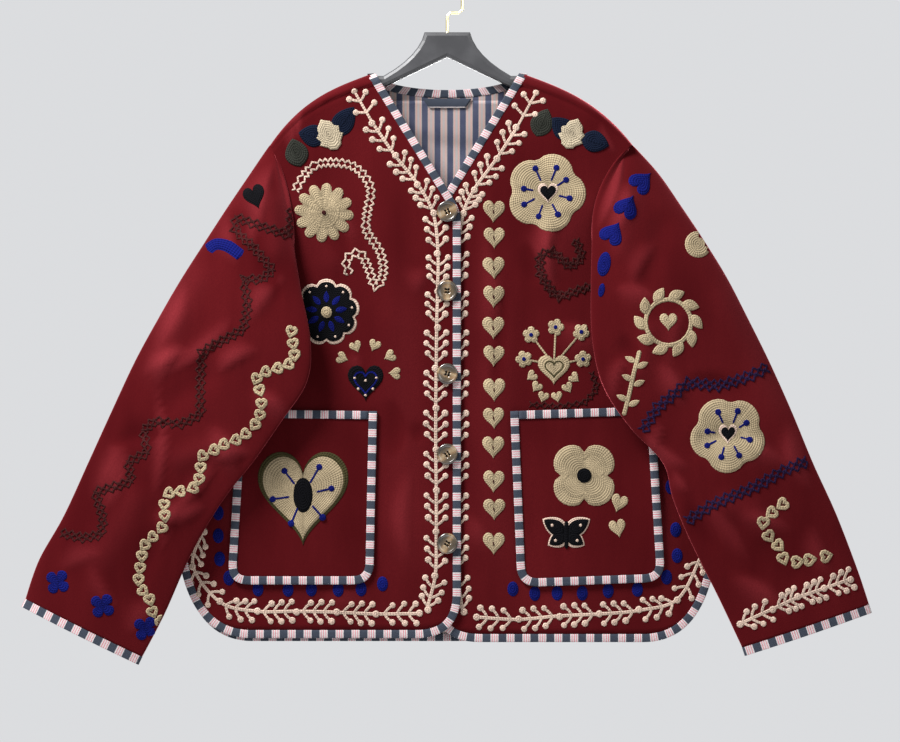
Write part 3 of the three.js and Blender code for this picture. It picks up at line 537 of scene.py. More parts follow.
def front_edges(side):
    curves = side_curves(side, side["hem"])
    low = route(
        [
            (curves["slit"], 0.5, 1, 0.14, 0),
            (curves["hem"], 0, 1, 0.86, 0),
            (curves["corner"], 0, 0.5, 1, 0),
        ]
    )
    mitre = FRONT_MITRE / (curves["v_neck"][1] - curves["v_neck"][0]).length
    middle = route(
        [
            (curves["corner"], 0.5, 1, 0.05, 0),
            (curves["edge"], 0, 1, 0.7, 0),
            (curves["turn"], 0, 1, 0.74, 0),
            (curves["v_neck"], 0, 1, 1, mitre),
        ]
    )
    neck_x = middle(1, UNDER_TAPE).x
    return (
        lambda u: low(u, UNDER_TAPE),
        lambda u: shoulder_point(side, neck_x, u),
        side_edge(curves, curves["front_hole"]),
        lambda v: middle(v, UNDER_TAPE),
    )


def shoulder_point(side, neck_x, share):
    x = lerp(side["tip"], neck_x, share)
    return Vector((x, shoulder_z(side, x)))


NECK_SHARE = 0.34  # the share of the back's top edge that each shoulder takes
CORNER_SHARE = 0.1  # the share of its bottom edge that each corner takes


def back_neck():
    x, z = BACK_NECK_HANDLE
    points = curve((-HALF_NECK, NECK_Z), (-x, z), (x, z), (HALF_NECK, NECK_Z))
    mitre = BACK_MITRE / (3 * math.hypot(HALF_NECK - x, NECK_Z - z))
    return lambda share, distance: inset(
        points, lerp(-mitre * distance, 1 + mitre * distance, share), distance
    )


def back_edges():
    right = side_curves(SIDES["right"], BACK_HEM_Z)
    left = side_curves(SIDES["left"], BACK_HEM_Z)
    corner = route([(left["slit"], 0.5, 1, CORNER_SHARE, 0)])
    neck = back_neck()
    start = neck(0, UNDER_TAPE).x

    def bottom(u):
        near = min(u, 1 - u)
        if near >= CORNER_SHARE:
            part = (u - CORNER_SHARE) / (1 - 2 * CORNER_SHARE)
            return Vector((lerp(SIDE_CORNER_X, -SIDE_CORNER_X, part), BACK_HEM_Z + UNDER_TAPE))
        point = corner(near, UNDER_TAPE)
        return point if near == u else mirrored(point)

    def top(u):
        if u > 1 - NECK_SHARE:
            return mirrored(shoulder_point(SIDES["right"], -start, (1 - u) / NECK_SHARE))
        if u < NECK_SHARE:
            return shoulder_point(SIDES["left"], -start, u / NECK_SHARE)
        return mirrored(neck((u - NECK_SHARE) / (1 - 2 * NECK_SHARE), UNDER_TAPE))

    right_side = side_edge(right, right["back_hole"])
    return bottom, top, side_edge(left, left["back_hole"]), lambda v: mirrored(right_side(v))


# Sleeves.


def column_at(rows, column, v):
    """A value of a sleeve's column at v, on a smooth curve through its rows."""
    place = clamp01(v) * (len(rows) - 1)
    i = min(int(place), len(rows) - 2)
    t = place - i
    a, b, c, d = (rows[min(max(k, 0), len(rows) - 1)][column] for k in (i - 1, i, i + 1, i + 2))
    if column == 0:
        return lerp(b, c, t)
    return b + 0.5 * t * (c - a + t * (2 * a - 5 * b + 4 * c - d + t * (3 * (b - c) + d - a)))


def sleeve_ring(name, v):
    """Seven points of a sleeve's section at v, from its seam in front to its seam behind."""
    side = SIDES[name]
    row = {column: column_at(SLEEVES[name], i, v) for i, column in enumerate(SLEEVE_COLUMNS)}
    curves = side_curves(side, side["hem"])
    fold = Vector((row["fold_x"], row["fold_y"], row["fold_z"]))
    outer = Vector((row["outer_x"], row["outer_y"], row["outer_z"]))
    under = fold.lerp(outer, row["under"])
    under.y += row["back"] * math.sin(math.pi * row["under"])
    away = (outer - fold).normalized() * GAP / 2
    share, below = min(row["seam"], 1), clamp01(row["seam"] - 1)
    ends = []
    for hole, back in ((curves["front_hole"], False), (curves["back_hole"], True)):
        at = inset(hole, share, SEAM_TUCK)
        x = side["sign"] * at.x
        start = back_point(x, at.y) if back else front_point(side, x, at.y)
        swing = Vector((start.x + side["sign"] * ARMPIT_OUT, ARMPIT_Y, start.z - ARMPIT_DROP))
        bent = start.lerp(swing, below).lerp(swing.lerp(under, below), below)
        ends.append(bent + away * (below if back else -below))
    start, end = ends
    turn = start.copy()
    turn.y = lerp(start.y, min(TURN_Y, start.y), smooth(share / 0.5))
    turn = turn.lerp(start.lerp(fold, 0.4), below)
    front = fold.lerp(outer, 0.5)
    front.y -= row["front"]
    back = outer.lerp(end, 0.5)
    back.y += row["back"]
    return [start, turn, fold, front, outer, back, end]


def ring_point(ring, u):
    """A point of the centripetal curve through a ring's points."""
    last = len(ring) - 1
    i = min(int(u * last), last - 1)
    t = u * last - i
    p1, p2 = ring[i], ring[i + 1]
    p0 = ring[i - 1] if i > 0 else p1 * 2 - p2
    p3 = ring[i + 2] if i + 2 <= last else p2 * 2 - p1
    d0, d1, d2 = (max((b - a).length, 1e-4) ** 0.5 for a, b in ((p0, p1), (p1, p2), (p2, p3)))
    run1 = ((p1 - p0) / d0 - (p2 - p0) / (d0 + d1) + (p2 - p1) / d1) * d1
    run2 = ((p2 - p1) / d1 - (p3 - p1) / (d1 + d2) + (p3 - p2) / d2) * d1
    square, cube = p1 * -3 + p2 * 3 - run1 * 2 - run2, p1 * 2 - p2 * 2 + run1 + run2
    return p1 + run1 * t + square * t**2 + cube * t**3


def sleeve_point(ring, u, v):
    point = ring_point(ring, u)
    cuff = smooth((1 - v) / 0.1)
    soft = fold_height(SLEEVE_FOLDS, point.x, point.z)
    if u < OUTER_SHARE:
        face = smooth((u - FOLD_SHARE) / 0.08) * smooth((OUTER_SHARE - u) / 0.08)
        fine = crease_height(SLEEVE_CREASES, point.x, point.z)
        point.y -= face * cuff * (soft + fine)
    else:
        face = smooth((u - OUTER_SHARE) / 0.08) * smooth((0.95 - u) / 0.1)
        fine = crease_height(SLEEVE_BACK_CREASES, point.x, point.z)
        point.y += face * cuff * (soft + fine)
    return point


# Meshes.


def grid(bm, us, vs, places, uvs):
    """Adds a grid of faces to bm. Its vertex in column i and row j goes to places[j][i].

    uvs(i, j) is that vertex's place in the pattern, in metres. It returns the new faces.
    """
    layer = bm.loops.layers.uv.verify()
    columns, rows = len(us) - 1, len(vs) - 1
    made = bmesh.ops.create_grid(
        bm, x_segments=columns, y_segments=rows, size=0.5, calc_uvs=False
    )["verts"]
    spots = {}
    for vertex in made:
        i, j = round((vertex.co.x + 0.5) * columns), round((vertex.co.y + 0.5) * rows)
        spots[vertex] = uvs(i, j)
        vertex.co = places[j][i] * MM
    faces = {face for vertex in made for face in vertex.link_faces}
    for face in faces:
        face.smooth = True
        for loop in face.loops:
            loop[layer].uv = spots[loop.vert]
    return list(faces)


def turn_out(bm, faces, towards):
    """Turns faces so that the ones that lie furthest towards a direction look that way."""
    direction = Vector(towards)
    for face in faces:
        face.normal_update()
    ranked = sorted(faces, key=lambda face: -face.calc_center_median().dot(direction))
    front = ranked[: max(len(ranked) // 5, 1)]
    if sum(face.normal.dot(direction) * face.calc_area() for face in front) < 0:
        bmesh.ops.reverse_faces(bm, faces=faces)


def cloth_mesh(us, vs, places, towards, uvs=None):
    """The mesh of a cloth, by rows of places. Its face looks towards a direction."""
    bm = bmesh.new()
    turn_out(bm, grid(bm, us, vs, places, uvs or flat_uvs(places)), towards)
    return bm


def mark_fold_light(bm, front, back):
    """Stores how far each place of a cloth lies on a ridge or in a groove: from it the velvet paints a
    highlight on ridges and shade in grooves.
    """
    bm.normal_update()
    layer = bm.verts.layers.float.new("ridge")
    for vertex in bm.verts:
        folds, creases = front if vertex.normal.y < 0 else back
        x, z = vertex.co.x / MM, vertex.co.z / MM
        height = FOLD_LIGHT_SHARE * fold_height(folds, x, z) + crease_height(creases, x, z)
        vertex[layer] = height / FOLD_LIGHT_FULL


def made_piece(bm, name, *materials):
    """A piece from bm, riding on the blazer."""
    mesh = bpy.data.meshes.new(name)
    bm.normal_update()
    bm.to_mesh(mesh)
    bm.free()
    piece = bpy.data.objects.new(name, mesh)
    bpy.context.scene.collection.objects.link(piece)
    for material in materials:
        mesh.materials.append(material)
    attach(piece, "root")
    return piece


def give_wall(piece, wall, offset=0.0):
    """Gives a cloth its thickness. Its inner side takes the second material if there is one, and its
    rim keeps the first.
    """
    modifier = piece.modifiers.new("wall", "SOLIDIFY")
    modifier.thickness = wall
    modifier.offset = offset
    modifier.use_even_offset = False
    modifier.use_rim = True
    if len(piece.data.materials) > 1:
        modifier.material_offset = 1
        modifier.material_offset_rim = 0


def lengths_along(points):
    """How far along their way points lie, in metres."""
    lengths = [0.0]
    for a, b in zip(points, points[1:]):
        lengths.append(lengths[-1] + (b - a).length * MM)
    return lengths


def flat_uvs(places):
    return lambda i, j: (places[j][i].x * MM, places[j][i].z * MM)


def rolled_steps(dense, count, ends):
    """Shares from 0 to 1 that lie closer together near 0, and near 1 where ends is true."""
    inner = even(count, dense[-1], 1 - dense[-1] if ends else 1)
    return [*dense[:-1], *inner, *([1 - share for share in reversed(dense[:-1])] if ends else [])]


SIDE_DENSE = [0, 0.002, 0.006, 0.012, 0.022, 0.034, 0.05, 0.068, 0.088]
SLIT_STEPS = [0, 0.02, 0.04, 0.06, 0.08, 0.1, 0.12, SLIT_SHARE, SEWN_SHARE]
TOP_DENSE = [
    0.952, 0.957, 0.961, 0.965, 0.969, 0.973, 0.977, 0.981,
    0.985, 0.988, 0.991, 0.994, 0.9965, 0.9985, 0.9995, 1,
]


BODY_ROWS = [
    *SLIT_STEPS, *even(40, 0.165, UNDERARM_SHARE), *even(62, UNDERARM_SHARE, 0.945)[1:], *TOP_DENSE,
]


def on_front(side, spots, out=0.0):
    """The places on a front's cloth of rows of (x, z), as they lie at +X."""
    return [[front_point(side, side["sign"] * at.x, at.y, out) for at in row] for row in spots]


def make_front(name):
    side = SIDES[name]
    us, vs = rolled_steps(SIDE_DENSE, 48, False), BODY_ROWS
    spots = net(front_edges(side), us, vs)
    places = on_front(side, spots)
    bm = cloth_mesh(us, vs, places, (0, -1, 0))
    mark_fold_light(bm, (FRONT_FOLDS, FRONT_CREASES), (FRONT_FOLDS, FRONT_CREASES))
    piece = made_piece(bm, f"velvet_front_{name}", velvet(), lining())
    finish_panel(piece, f"front_{name}")


def make_back():
    us, vs = rolled_steps([share / 2 for share in SIDE_DENSE], 108, True), BODY_ROWS
    spots = net(back_edges(), us, vs)
    places = [[back_point(at.x, at.y) for at in row] for row in spots]
    bm = cloth_mesh(us, vs, places, (0, 1, 0))
    mark_fold_light(bm, (BACK_FOLDS, BACK_CREASES), (BACK_FOLDS, BACK_CREASES))
    piece = made_piece(bm, "velvet_back", velvet(), lining())
    finish_panel(piece, "back")


def finish_panel(piece, node):
    give_wall(piece, settings().cloth.velvet_wall)
    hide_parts(node)


SLEEVE_MAP = (0.33, 0.5)  # a sleeve's width and length in its pattern, in metres


def make_sleeve(name):
    us, vs = even(108), even(118)
    rings = [sleeve_ring(name, v) for v in vs]
    places = [[sleeve_point(ring, u, v) for u in us] for ring, v in zip(rings, vs)]
    uvs = lambda i, j: (us[i] * SLEEVE_MAP[0], vs[j] * SLEEVE_MAP[1])
    bm = cloth_mesh(us, vs, places, (0, -1, 0), uvs)
    mark_fold_light(bm, (SLEEVE_FOLDS, SLEEVE_CREASES), (SLEEVE_FOLDS, SLEEVE_BACK_CREASES))
    piece = made_piece(bm, f"velvet_sleeve_{name}", velvet(), lining())
    finish_panel(piece, f"sleeve_{name}")


# The section of the tape, a flat strip folded over an edge: (across, out), as shares of its sizes.
TAPE_SECTION = [
    (0.0, 0.0), (0.02, 0.42), (0.1, 0.5), (0.35, 0.53), (0.65, 0.53), (0.92, 0.5), (0.99, 0.4),
    (1.0, 0.0), (0.99, -0.4), (0.92, -0.5), (0.65, -0.53), (0.35, -0.53), (0.1, -0.5),
    (0.02, -0.42), (0.0, 0.0),
]


def tape_strip(middles, place):
    """A strip of tape: place(share, across, out) gives its points, middles the shares of its steps."""
    bm = bmesh.new()
    width, wall = settings().tape.width / MM, settings().tape.wall / MM
    places = [[place(s, w * width, h * wall) for w, h in TAPE_SECTION] for s in middles]
    lengths = lengths_along([place(s, width / 2, 0) for s in middles])
    uvs = lambda i, j: (TAPE_SECTION[i][0] * width * MM, lengths[j])
    grid(bm, TAPE_SECTION, middles, places, uvs)
    bmesh.ops.remove_doubles(bm, verts=bm.verts, dist=JOINED)
    rims = [edge for edge in bm.edges if edge.is_boundary]
    bmesh.ops.holes_fill(bm, edges=rims, sides=0)
    bmesh.ops.recalc_face_normals(bm, faces=bm.faces)
    return bm


NECK_END = (0.99, 0.994, 0.997, 1)  # closer steps where the tape rolls over the shoulder


def front_way(side):
    curves = side_curves(side, side["hem"])
    mitre = FRONT_MITRE / (curves["v_neck"][1] - curves["v_neck"][0]).length
    return route(
        [
            (curves["slit"], 0.006, 1, 0.16, 0),
            (curves["hem"], 0, 1, 0.34, 0),
            (curves["corner"], 0, 1, 0.41, 0),
            (curves["edge"], 0, 1, 0.8, 0),
            (curves["turn"], 0, 1, 0.84, 0),
            (curves["v_neck"], 0, 1, 1, mitre),
        ]
    )


def make_front_tape(name):
    side = SIDES[name]
    way = front_way(side)

    def place(s, w, h):
        at = way(s, w)
        return front_point(side, side["sign"] * at.x, at.y, h)

    shares = shares_to((30, 0.16), (40, 0.34), (16, 0.41), (90, 0.8), (8, 0.84), (40, 0.985))
    piece = made_piece(tape_strip([*shares, *NECK_END], place), f"tape_front_{name}", tape())
    finish_tape(piece, f"front_binding_{name}")


HEM_SHARE, HEM_PACE = 0.3, 1.75  # the tape's share at each slit, and how fast it runs between them


def make_back_hem_tape():
    left = side_curves(SIDES["left"], BACK_HEM_Z)
    hem = curve((SIDE_CORNER_X, BACK_HEM_Z), (-SIDE_CORNER_X, BACK_HEM_Z))
    way = route([(left["slit"], 0.006, 1, HEM_SHARE, 0), (hem, 0, 1, 1, 0)])

    def place(s, w, h):
        near = min(s, 1 - s)
        at = way(near if near < HEM_SHARE else HEM_SHARE + (s - HEM_SHARE) * HEM_PACE, w)
        return back_point(-at.x if near < HEM_SHARE and s > 0.5 else at.x, at.y, h)

    bm = tape_strip(shares_to((30, HEM_SHARE), (80, 1 - HEM_SHARE), (30, 1)), place)
    finish_tape(made_piece(bm, "tape_back_hem", tape()), "back_hem_binding")


def make_back_neck_tape():
    neck = back_neck()

    def place(s, w, h):
        at = neck(s, w)
        return back_point(at.x, at.y, h)

    bm = tape_strip([0, 0.004, 0.008, 0.02, *even(44, 0.03, 0.97), 0.98, 0.992, 0.996, 1], place)
    finish_tape(made_piece(bm, "tape_back_neck", tape()), "back_neck_binding")


def make_cuff_tape(name):
    last = SLEEVES[name][-1]
    run = Vector((last[2] - last[5], 0, last[4] - last[1])).normalized()
    if run.z > 0:
        run.negate()
    ring = sleeve_ring(name, 1)
    us = even(160)
    rim = [sleeve_point(ring, u, 1) for u in us]
    places = [[point + run * (GAP + step) for point in rim] for step in CUFF_STEPS]
    lengths = lengths_along(rim)
    uvs = lambda i, j: (CUFF_STEPS[j] * MM, lengths[i])
    bm = cloth_mesh(us, CUFF_STEPS, places, (0, -1, 0), uvs)
    piece = made_piece(bm, f"tape_cuff_{name}", tape())
    give_wall(piece, CUFF_WALL * MM)
    bevel = piece.modifiers.new("soft edges", "BEVEL")
    bevel.width = CUFF_BEVEL * MM
    bevel.segments = 2
    bevel.limit_method = "ANGLE"
    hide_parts(f"cuff_binding_{name}")


def finish_tape(piece, node):
    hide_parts(node)


def pocket_curves(name):
    top_out, top_in, low_in, low_out = (Vector(corner) for corner in POCKETS[name])

    def rounded(corner, towards):
        return corner + (towards - corner).normalized() * POCKET_CORNER

    out_corner = [rounded(low_out, top_out), low_out, rounded(low_out, low_in)]
    in_corner = [rounded(low_in, low_out), low_in, rounded(low_in, top_in)]
    return {
        "out_side": [top_out, out_corner[0]],
        "out_corner": out_corner,
        "foot": [out_corner[2], in_corner[0]],
        "in_corner": in_corner,
        "in_side": [in_corner[2], top_in],
        "top": [top_in, top_out],
    }


def length_of(points):
    return (points[-1] - points[0]).length


def make_pocket(name):
    side = SIDES[name]
    curves = pocket_curves(name)
    top_share = UNDER_TAPE / length_of(curves["out_side"])
    end_share = UNDER_TAPE / length_of(curves["top"])
    out_corner, in_corner = curves["out_corner"], curves["in_corner"]
    low = route(
        [(out_corner, 0.5, 1, 0.12, 0), (curves["foot"], 0, 1, 0.88, 0), (in_corner, 0, 0.5, 1, 0)]
    )
    outer = route([(out_corner, 0.5, 0, 0.1, 0), (curves["out_side"], 1, top_share, 1, 0)])
    inner = route([(in_corner, 0.5, 1, 0.1, 0), (curves["in_side"], 0, 1 - top_share, 1, 0)])
    edges = (
        lambda u: low(u, UNDER_TAPE),
        lambda u: inset(curves["top"], lerp(1 - end_share, end_share, u), UNDER_TAPE),
        lambda v: outer(v, UNDER_TAPE),
        lambda v: inner(v, UNDER_TAPE),
    )
    us, vs = even(38), even(46)
    out = VELVET_WALL / 2 + LYING_GAP + POCKET_WALL / 2
    spots = net(edges, us, vs)
    places = on_front(side, spots, out)
    bm = cloth_mesh(us, vs, places, (0, -1, 0))
    piece = made_piece(bm, f"velvet_pocket_{name}", velvet())
    give_wall(piece, settings().cloth.pocket_wall)
    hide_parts(f"pocket_{name}")


def make_pocket_tapes(name):
    side = SIDES[name]
    curves = pocket_curves(name)
    out = VELVET_WALL / 2 + LYING_GAP + BINDING_WALL / 2
    round_way = route(
        [
            (curves["out_side"], 0, 1, 0.32, 0),
            (curves["out_corner"], 0, 1, 0.38, 0),
            (curves["foot"], 0, 1, 0.62, 0),
            (curves["in_corner"], 0, 1, 0.68, 0),
            (curves["in_side"], 0, 1, 1, 0),
        ]
    )
    end = (BINDING_WIDTH + GAP) / length_of(curves["top"])

    def strip(way, shares, piece_name, node):
        def place(s, w, h):
            at = way(s, w)
            return front_point(side, side["sign"] * at.x, at.y, out + h)

        finish_tape(made_piece(tape_strip(shares, place), piece_name, tape()), node)

    def top_way(share, distance):
        return inset(curves["top"], lerp(end, 1 - end, share), distance)

    shares = shares_to((34, 0.32), (10, 0.38), (24, 0.62), (10, 0.68), (34, 1))
    strip(round_way, shares, f"tape_pocket_{name}", f"pocket_edge_binding_{name}")
    strip(top_way, even(34), f"tape_pocket_top_{name}", f"pocket_top_binding_{name}")


def make_lining():
    out = -VELVET_WALL / 2 - LYING_GAP - LINING_WALL / 2
    us, vs = even(44), even(46)
    places = []
    for v in vs:
        half, z = lerp(LINING_HALF_FOOT, LINING_HALF_TOP, v), lerp(LINING_FOOT, LINING_TOP, v)
        places.append([back_point(lerp(-half, half, u), z, out) for u in us])
    bm = cloth_mesh(us, vs, places, (0, -1, 0))
    piece = made_piece(bm, "lining_back", lining())
    give_wall(piece, LINING_WALL * MM)
    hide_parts("back_lining")


def make_loop():
    out = -VELVET_WALL / 2 - LYING_GAP - LINING_WALL - GAP - LOOP_ROOM / 2
    us, vs = even(24), [0, 0.08, 0.2, 0.4, 0.6, 0.8, 0.92, 1]
    places = []
    for v in vs:
        half, z = lerp(LOOP_HALF_FOOT, LOOP_HALF_TOP, v), LOOP_TOP - LOOP_HEIGHT * (1 - v)
        belly = LOOP_BELLY * math.sin(math.pi * v)
        places.append([back_point(lerp(-half, half, u), z, out - belly) for u in us])
    uvs = lambda i, j: (places[j][i].x * MM, vs[j] * LOOP_HEIGHT * MM)
    bm = cloth_mesh(us, vs, places, (0, -1, 0), uvs)
    piece = made_piece(bm, "loop_tab", loop_tape())
    give_wall(piece, LOOP_WALL * MM)
    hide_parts("hanging_loop")


# Buttons.

BUTTON_PROFILE = [
    (0, -1.7), (8.5, -1.7), (10.6, -1.3), (11.4, -0.4), (11.5, 0.5), (11.1, 1.3), (10.3, 1.75),
    (9.4, 1.7), (8.7, 1.2), (7.9, 0.9), (5.5, 0.75), (2.5, 0.7), (0, 0.7),
]
BUTTON_TURNS = (115, 0, 70, 125, 150)
HOLE_OFFSET = 2.3
HOLE_RADIUS = 1.15
DRILL_LENGTH = 8
BAR_REACH, BAR_SPREAD, BAR_RADIUS, BAR_RISE, BAR_SUNK = 0.72, 0.32, 0.34, 1.35, 0.4


def make_button(number):
    """A turned horn button with four holes, sewn on with dark thread."""
    z = BUTTON_ZS[number]
    seat = front_point(SIDES["right"], 0, z, BINDING_WALL / 2 + BUTTON_STAND + BUTTON_THICK / 2)
    bm = bmesh.new()
    profile = [bm.verts.new((r * MM, -h * MM, 0)) for r, h in BUTTON_PROFILE]
    edges = [bm.edges.new(pair) for pair in zip(profile, profile[1:])]
    bmesh.ops.spin(
        bm, geom=profile + edges, cent=(0, 0, 0), axis=(0, 1, 0), dvec=(0, 0, 0),
        angle=2 * math.pi, steps=40, use_merge=True, use_duplicate=False,
    )
    bmesh.ops.remove_doubles(bm, verts=bm.verts, dist=JOINED)
    bmesh.ops.recalc_face_normals(bm, faces=bm.faces)
    turn = math.radians(BUTTON_TURNS[number])
    layer = bm.loops.layers.uv.verify()
    for face in bm.faces:
        face.smooth = True
        for loop in face.loops:
            x, _, y = loop.vert.co
            loop[layer].uv = (
                0.5 + (x * math.cos(turn) + y * math.sin(turn)) / (2 * BUTTON_RADIUS * MM),
                0.5 + (y * math.cos(turn) - x * math.sin(turn)) / (2 * BUTTON_RADIUS * MM) + number,
            )
    button = made_piece(bm, f"horn_button_{number + 1}", horn())
    drills = bmesh.new()
    for corner in range(4):
        angle = turn + math.pi / 4 + corner * math.pi / 2
        at = Vector((HOLE_OFFSET * math.cos(angle), 0, HOLE_OFFSET * math.sin(angle))) * MM
        place = Matrix.Translation(at) @ Matrix.Rotation(math.pi / 2, 4, "X")
        bmesh.ops.create_cone(
            drills, cap_ends=True, segments=12, radius1=HOLE_RADIUS * MM, radius2=HOLE_RADIUS * MM,
            depth=DRILL_LENGTH * MM, matrix=place,
        )
    drill = made_piece(drills, "drill")
    cut = button.modifiers.new("holes", "BOOLEAN")
    cut.object = drill
    cut.solver = "EXACT"
    bpy.context.view_layer.update()
    shown = button.evaluated_get(bpy.context.evaluated_depsgraph_get())
    drilled = bpy.data.meshes.new_from_object(shown)
    button.modifiers.clear()
    button.data = drilled
    bpy.data.objects.remove(drill)
    drilled.transform(Matrix.Translation(seat * MM))
    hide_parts(f"button_{number + 1}")
    make_button_thread(number, seat, turn)


def make_button_thread(number, seat, turn):
    """Two bars of doubled thread between the holes."""
    bm = bmesh.new()
    for sign in (-1, 1):
        for shift in (-BAR_SPREAD, BAR_SPREAD):
            points = []
            for t in even(10):
                along_bar = lerp(-HOLE_OFFSET, HOLE_OFFSET, t) * BAR_REACH
                lift = BAR_RISE * math.sin(math.pi * t) ** 0.5 - BAR_SUNK
                across = sign * HOLE_OFFSET * BAR_REACH + shift
                x = along_bar * math.cos(turn) - across * math.sin(turn)
                z = along_bar * math.sin(turn) + across * math.cos(turn)
                points.append(seat + Vector((x, -lift - 0.5, z)))
            tube(bm, points, BAR_RADIUS, 8)
    piece = made_piece(bm, f"button_thread_{number + 1}", thread("thread_black", BLACK))


def tube(bm, points, radius, sides):
    """A closed tube of thread along points."""
    angles = even(sides)
    places = []
    for i, point in enumerate(points):
        run = run_at(points, i)
        across = run.cross(Vector((0, 1, 0))).normalized()
        up = across.cross(run)
        size = radius * (0.3 if i in (0, len(points) - 1) else 1)
        turns = [(size * math.cos(2 * math.pi * a), size * math.sin(2 * math.pi * a)) for a in angles]
        places.append([point + across * wide + up * high for wide, high in turns])
    before = set(bm.verts)
    grid(bm, angles, points, places, lambda i, j: (i * MM, j * MM))
    new = [vertex for vertex in bm.verts if vertex not in before]
    bmesh.ops.remove_doubles(bm, verts=new, dist=JOINED)
    kept = [vertex for vertex in new if vertex.is_valid]
    rims = {edge for vertex in kept for edge in vertex.link_edges if edge.is_boundary}
    bmesh.ops.holes_fill(bm, edges=list(rims), sides=0)
    faces = {face for vertex in kept for face in vertex.link_faces}
    bmesh.ops.recalc_face_normals(bm, faces=list(faces))


BLACK = (0.0015, 0.0015, 0.002)

# Embroidery: chain stitch in cotton. Its places are (x, z) in the front view. It follows the cloth.

SPINE, STEM, DOT = 3.9, 3.1, 3.7  # widths of a vine's stem and of its twigs, and the radius of its dots
TWIGS = ((0.16, 9.5), (0.42, 10.5), (0.68, 10.5))  # their places between two dots, and their reach
ROW_SECTION = [(-0.5, -0.4), (-0.4, 0.55), (0, 1), (0.4, 0.55), (0.5, -0.4)]  # (across, out), as shares
ROW_STEP = 2.4
FAR = 400  # rays start this far before or behind the blazer
LOST = Vector((0, 9000, 0))  # where a stitch goes that misses its cloth, until it is deleted
THREADS = {
    "pearl": (0.235, 0.175, 0.14),
    "beige": (0.155, 0.122, 0.076),
    "cream": (0.18, 0.15, 0.105),
    "blue": (0.002, 0.003, 0.042),
    "navy": (0.0022, 0.0035, 0.0085),
    "green": (0.0105, 0.011, 0.009),
    "brown": (0.017, 0.004, 0.004),
    "plum": (0.0065, 0.0035, 0.014),
    "olive": (0.022, 0.019, 0.008),
    "black": BLACK,
}


def uneven(number, amount=0.6):
    """A small, repeatable unevenness, as of a hand."""
    return amount * math.sin(number * 12.9898 + 1.7) * math.cos(number * 4.1414)


def circle(x, z, radius, sides=10):
    return blossom(x, z, radius, sides, 0.0, 0.0, 1)


def blossom(x, z, radius, petals, depth, turn=0.0, steps=6):
    """Round petals, cut in by depth as a share of the radius."""
    points = []
    for k in range(petals * steps):
        angle = 2 * math.pi * k / (petals * steps)
        reach = radius * (1 - depth * (1 - abs(math.cos(petals * angle / 2)) ** 0.6))
        points.append(Vector((x + reach * math.sin(angle + turn), z + reach * math.cos(angle + turn))))
    return points


def ellipse(x, z, half_width, half_height, turn=0.0, sides=20):
    points = []
    for k in range(sides):
        angle = 2 * math.pi * k / sides
        point = Vector((half_width * math.sin(angle), half_height * math.cos(angle)))
        point.rotate(Matrix.Rotation(-turn, 2))
        points.append(point + Vector((x, z)))
    return points


def heart(x, z, width, height, turn=0.0, sides=26):
    sides = max(sides, int(width * 0.7))
    points = []
    for k in range(sides):
        t = 2 * math.pi * k / sides
        up = 13 * math.cos(t) - 5 * math.cos(2 * t) - 2 * math.cos(3 * t) - math.cos(4 * t)
        point = Vector((math.sin(t) ** 3 * width / 2, (up + 2.5) / 29 * height))
        point.rotate(Matrix.Rotation(-turn, 2))
        points.append(point + Vector((x, z)))
    return points


def leaf(x1, z1, x2, z2, width, waves=0):
    """A leaf from its stalk to its tip, with waves in its edge."""
    base, tip = Vector((x1, z1)), Vector((x2, z2))
    run = tip - base
    side = beside(run).normalized()
    points = []
    for hand, shares in ((1, even(12)), (-1, even(12)[::-1][1:-1])):
        for t in shares:
            half = width / 2 * math.sin(math.pi * t**0.85) ** 0.8
            half *= 1 + (0.16 * math.sin(2 * math.pi * waves * t) if waves else 0)
            points.append(base + run * t + side * half * hand)
    return points


def spaced(points, step):
    """Points along a way, about a step from each other. Its corners stay."""
    out = [points[0]]
    for a, b in zip(points, points[1:]):
        parts = max(math.ceil((b - a).length / step), 1)
        out += [a.lerp(b, k / parts) for k in range(1, parts + 1)]
    return out


def run_at(points, i):
    """The direction of a way at its point i."""
    return (points[min(i + 1, len(points) - 1)] - points[max(i - 1, 0)]).normalized()


def beside(run):
    """The direction to the right of a run."""
    return Vector((run.y, -run.x))


def flowing(nodes, steps=8):
    """A smooth way through nodes."""
    nodes = [Vector(node) for node in nodes]
    out = [nodes[0]]
    for i in range(len(nodes) - 1):
        a, b, c, d = (nodes[min(max(k, 0), len(nodes) - 1)] for k in (i - 1, i, i + 1, i + 2))
        for k in range(1, steps + 1):
            t = k / steps
            bend = (a * 2 - b * 5 + c * 4 - d) + ((b - c) * 3 + d - a) * t
            out.append(b + ((c - a) + bend * t) * (0.5 * t))
    return out


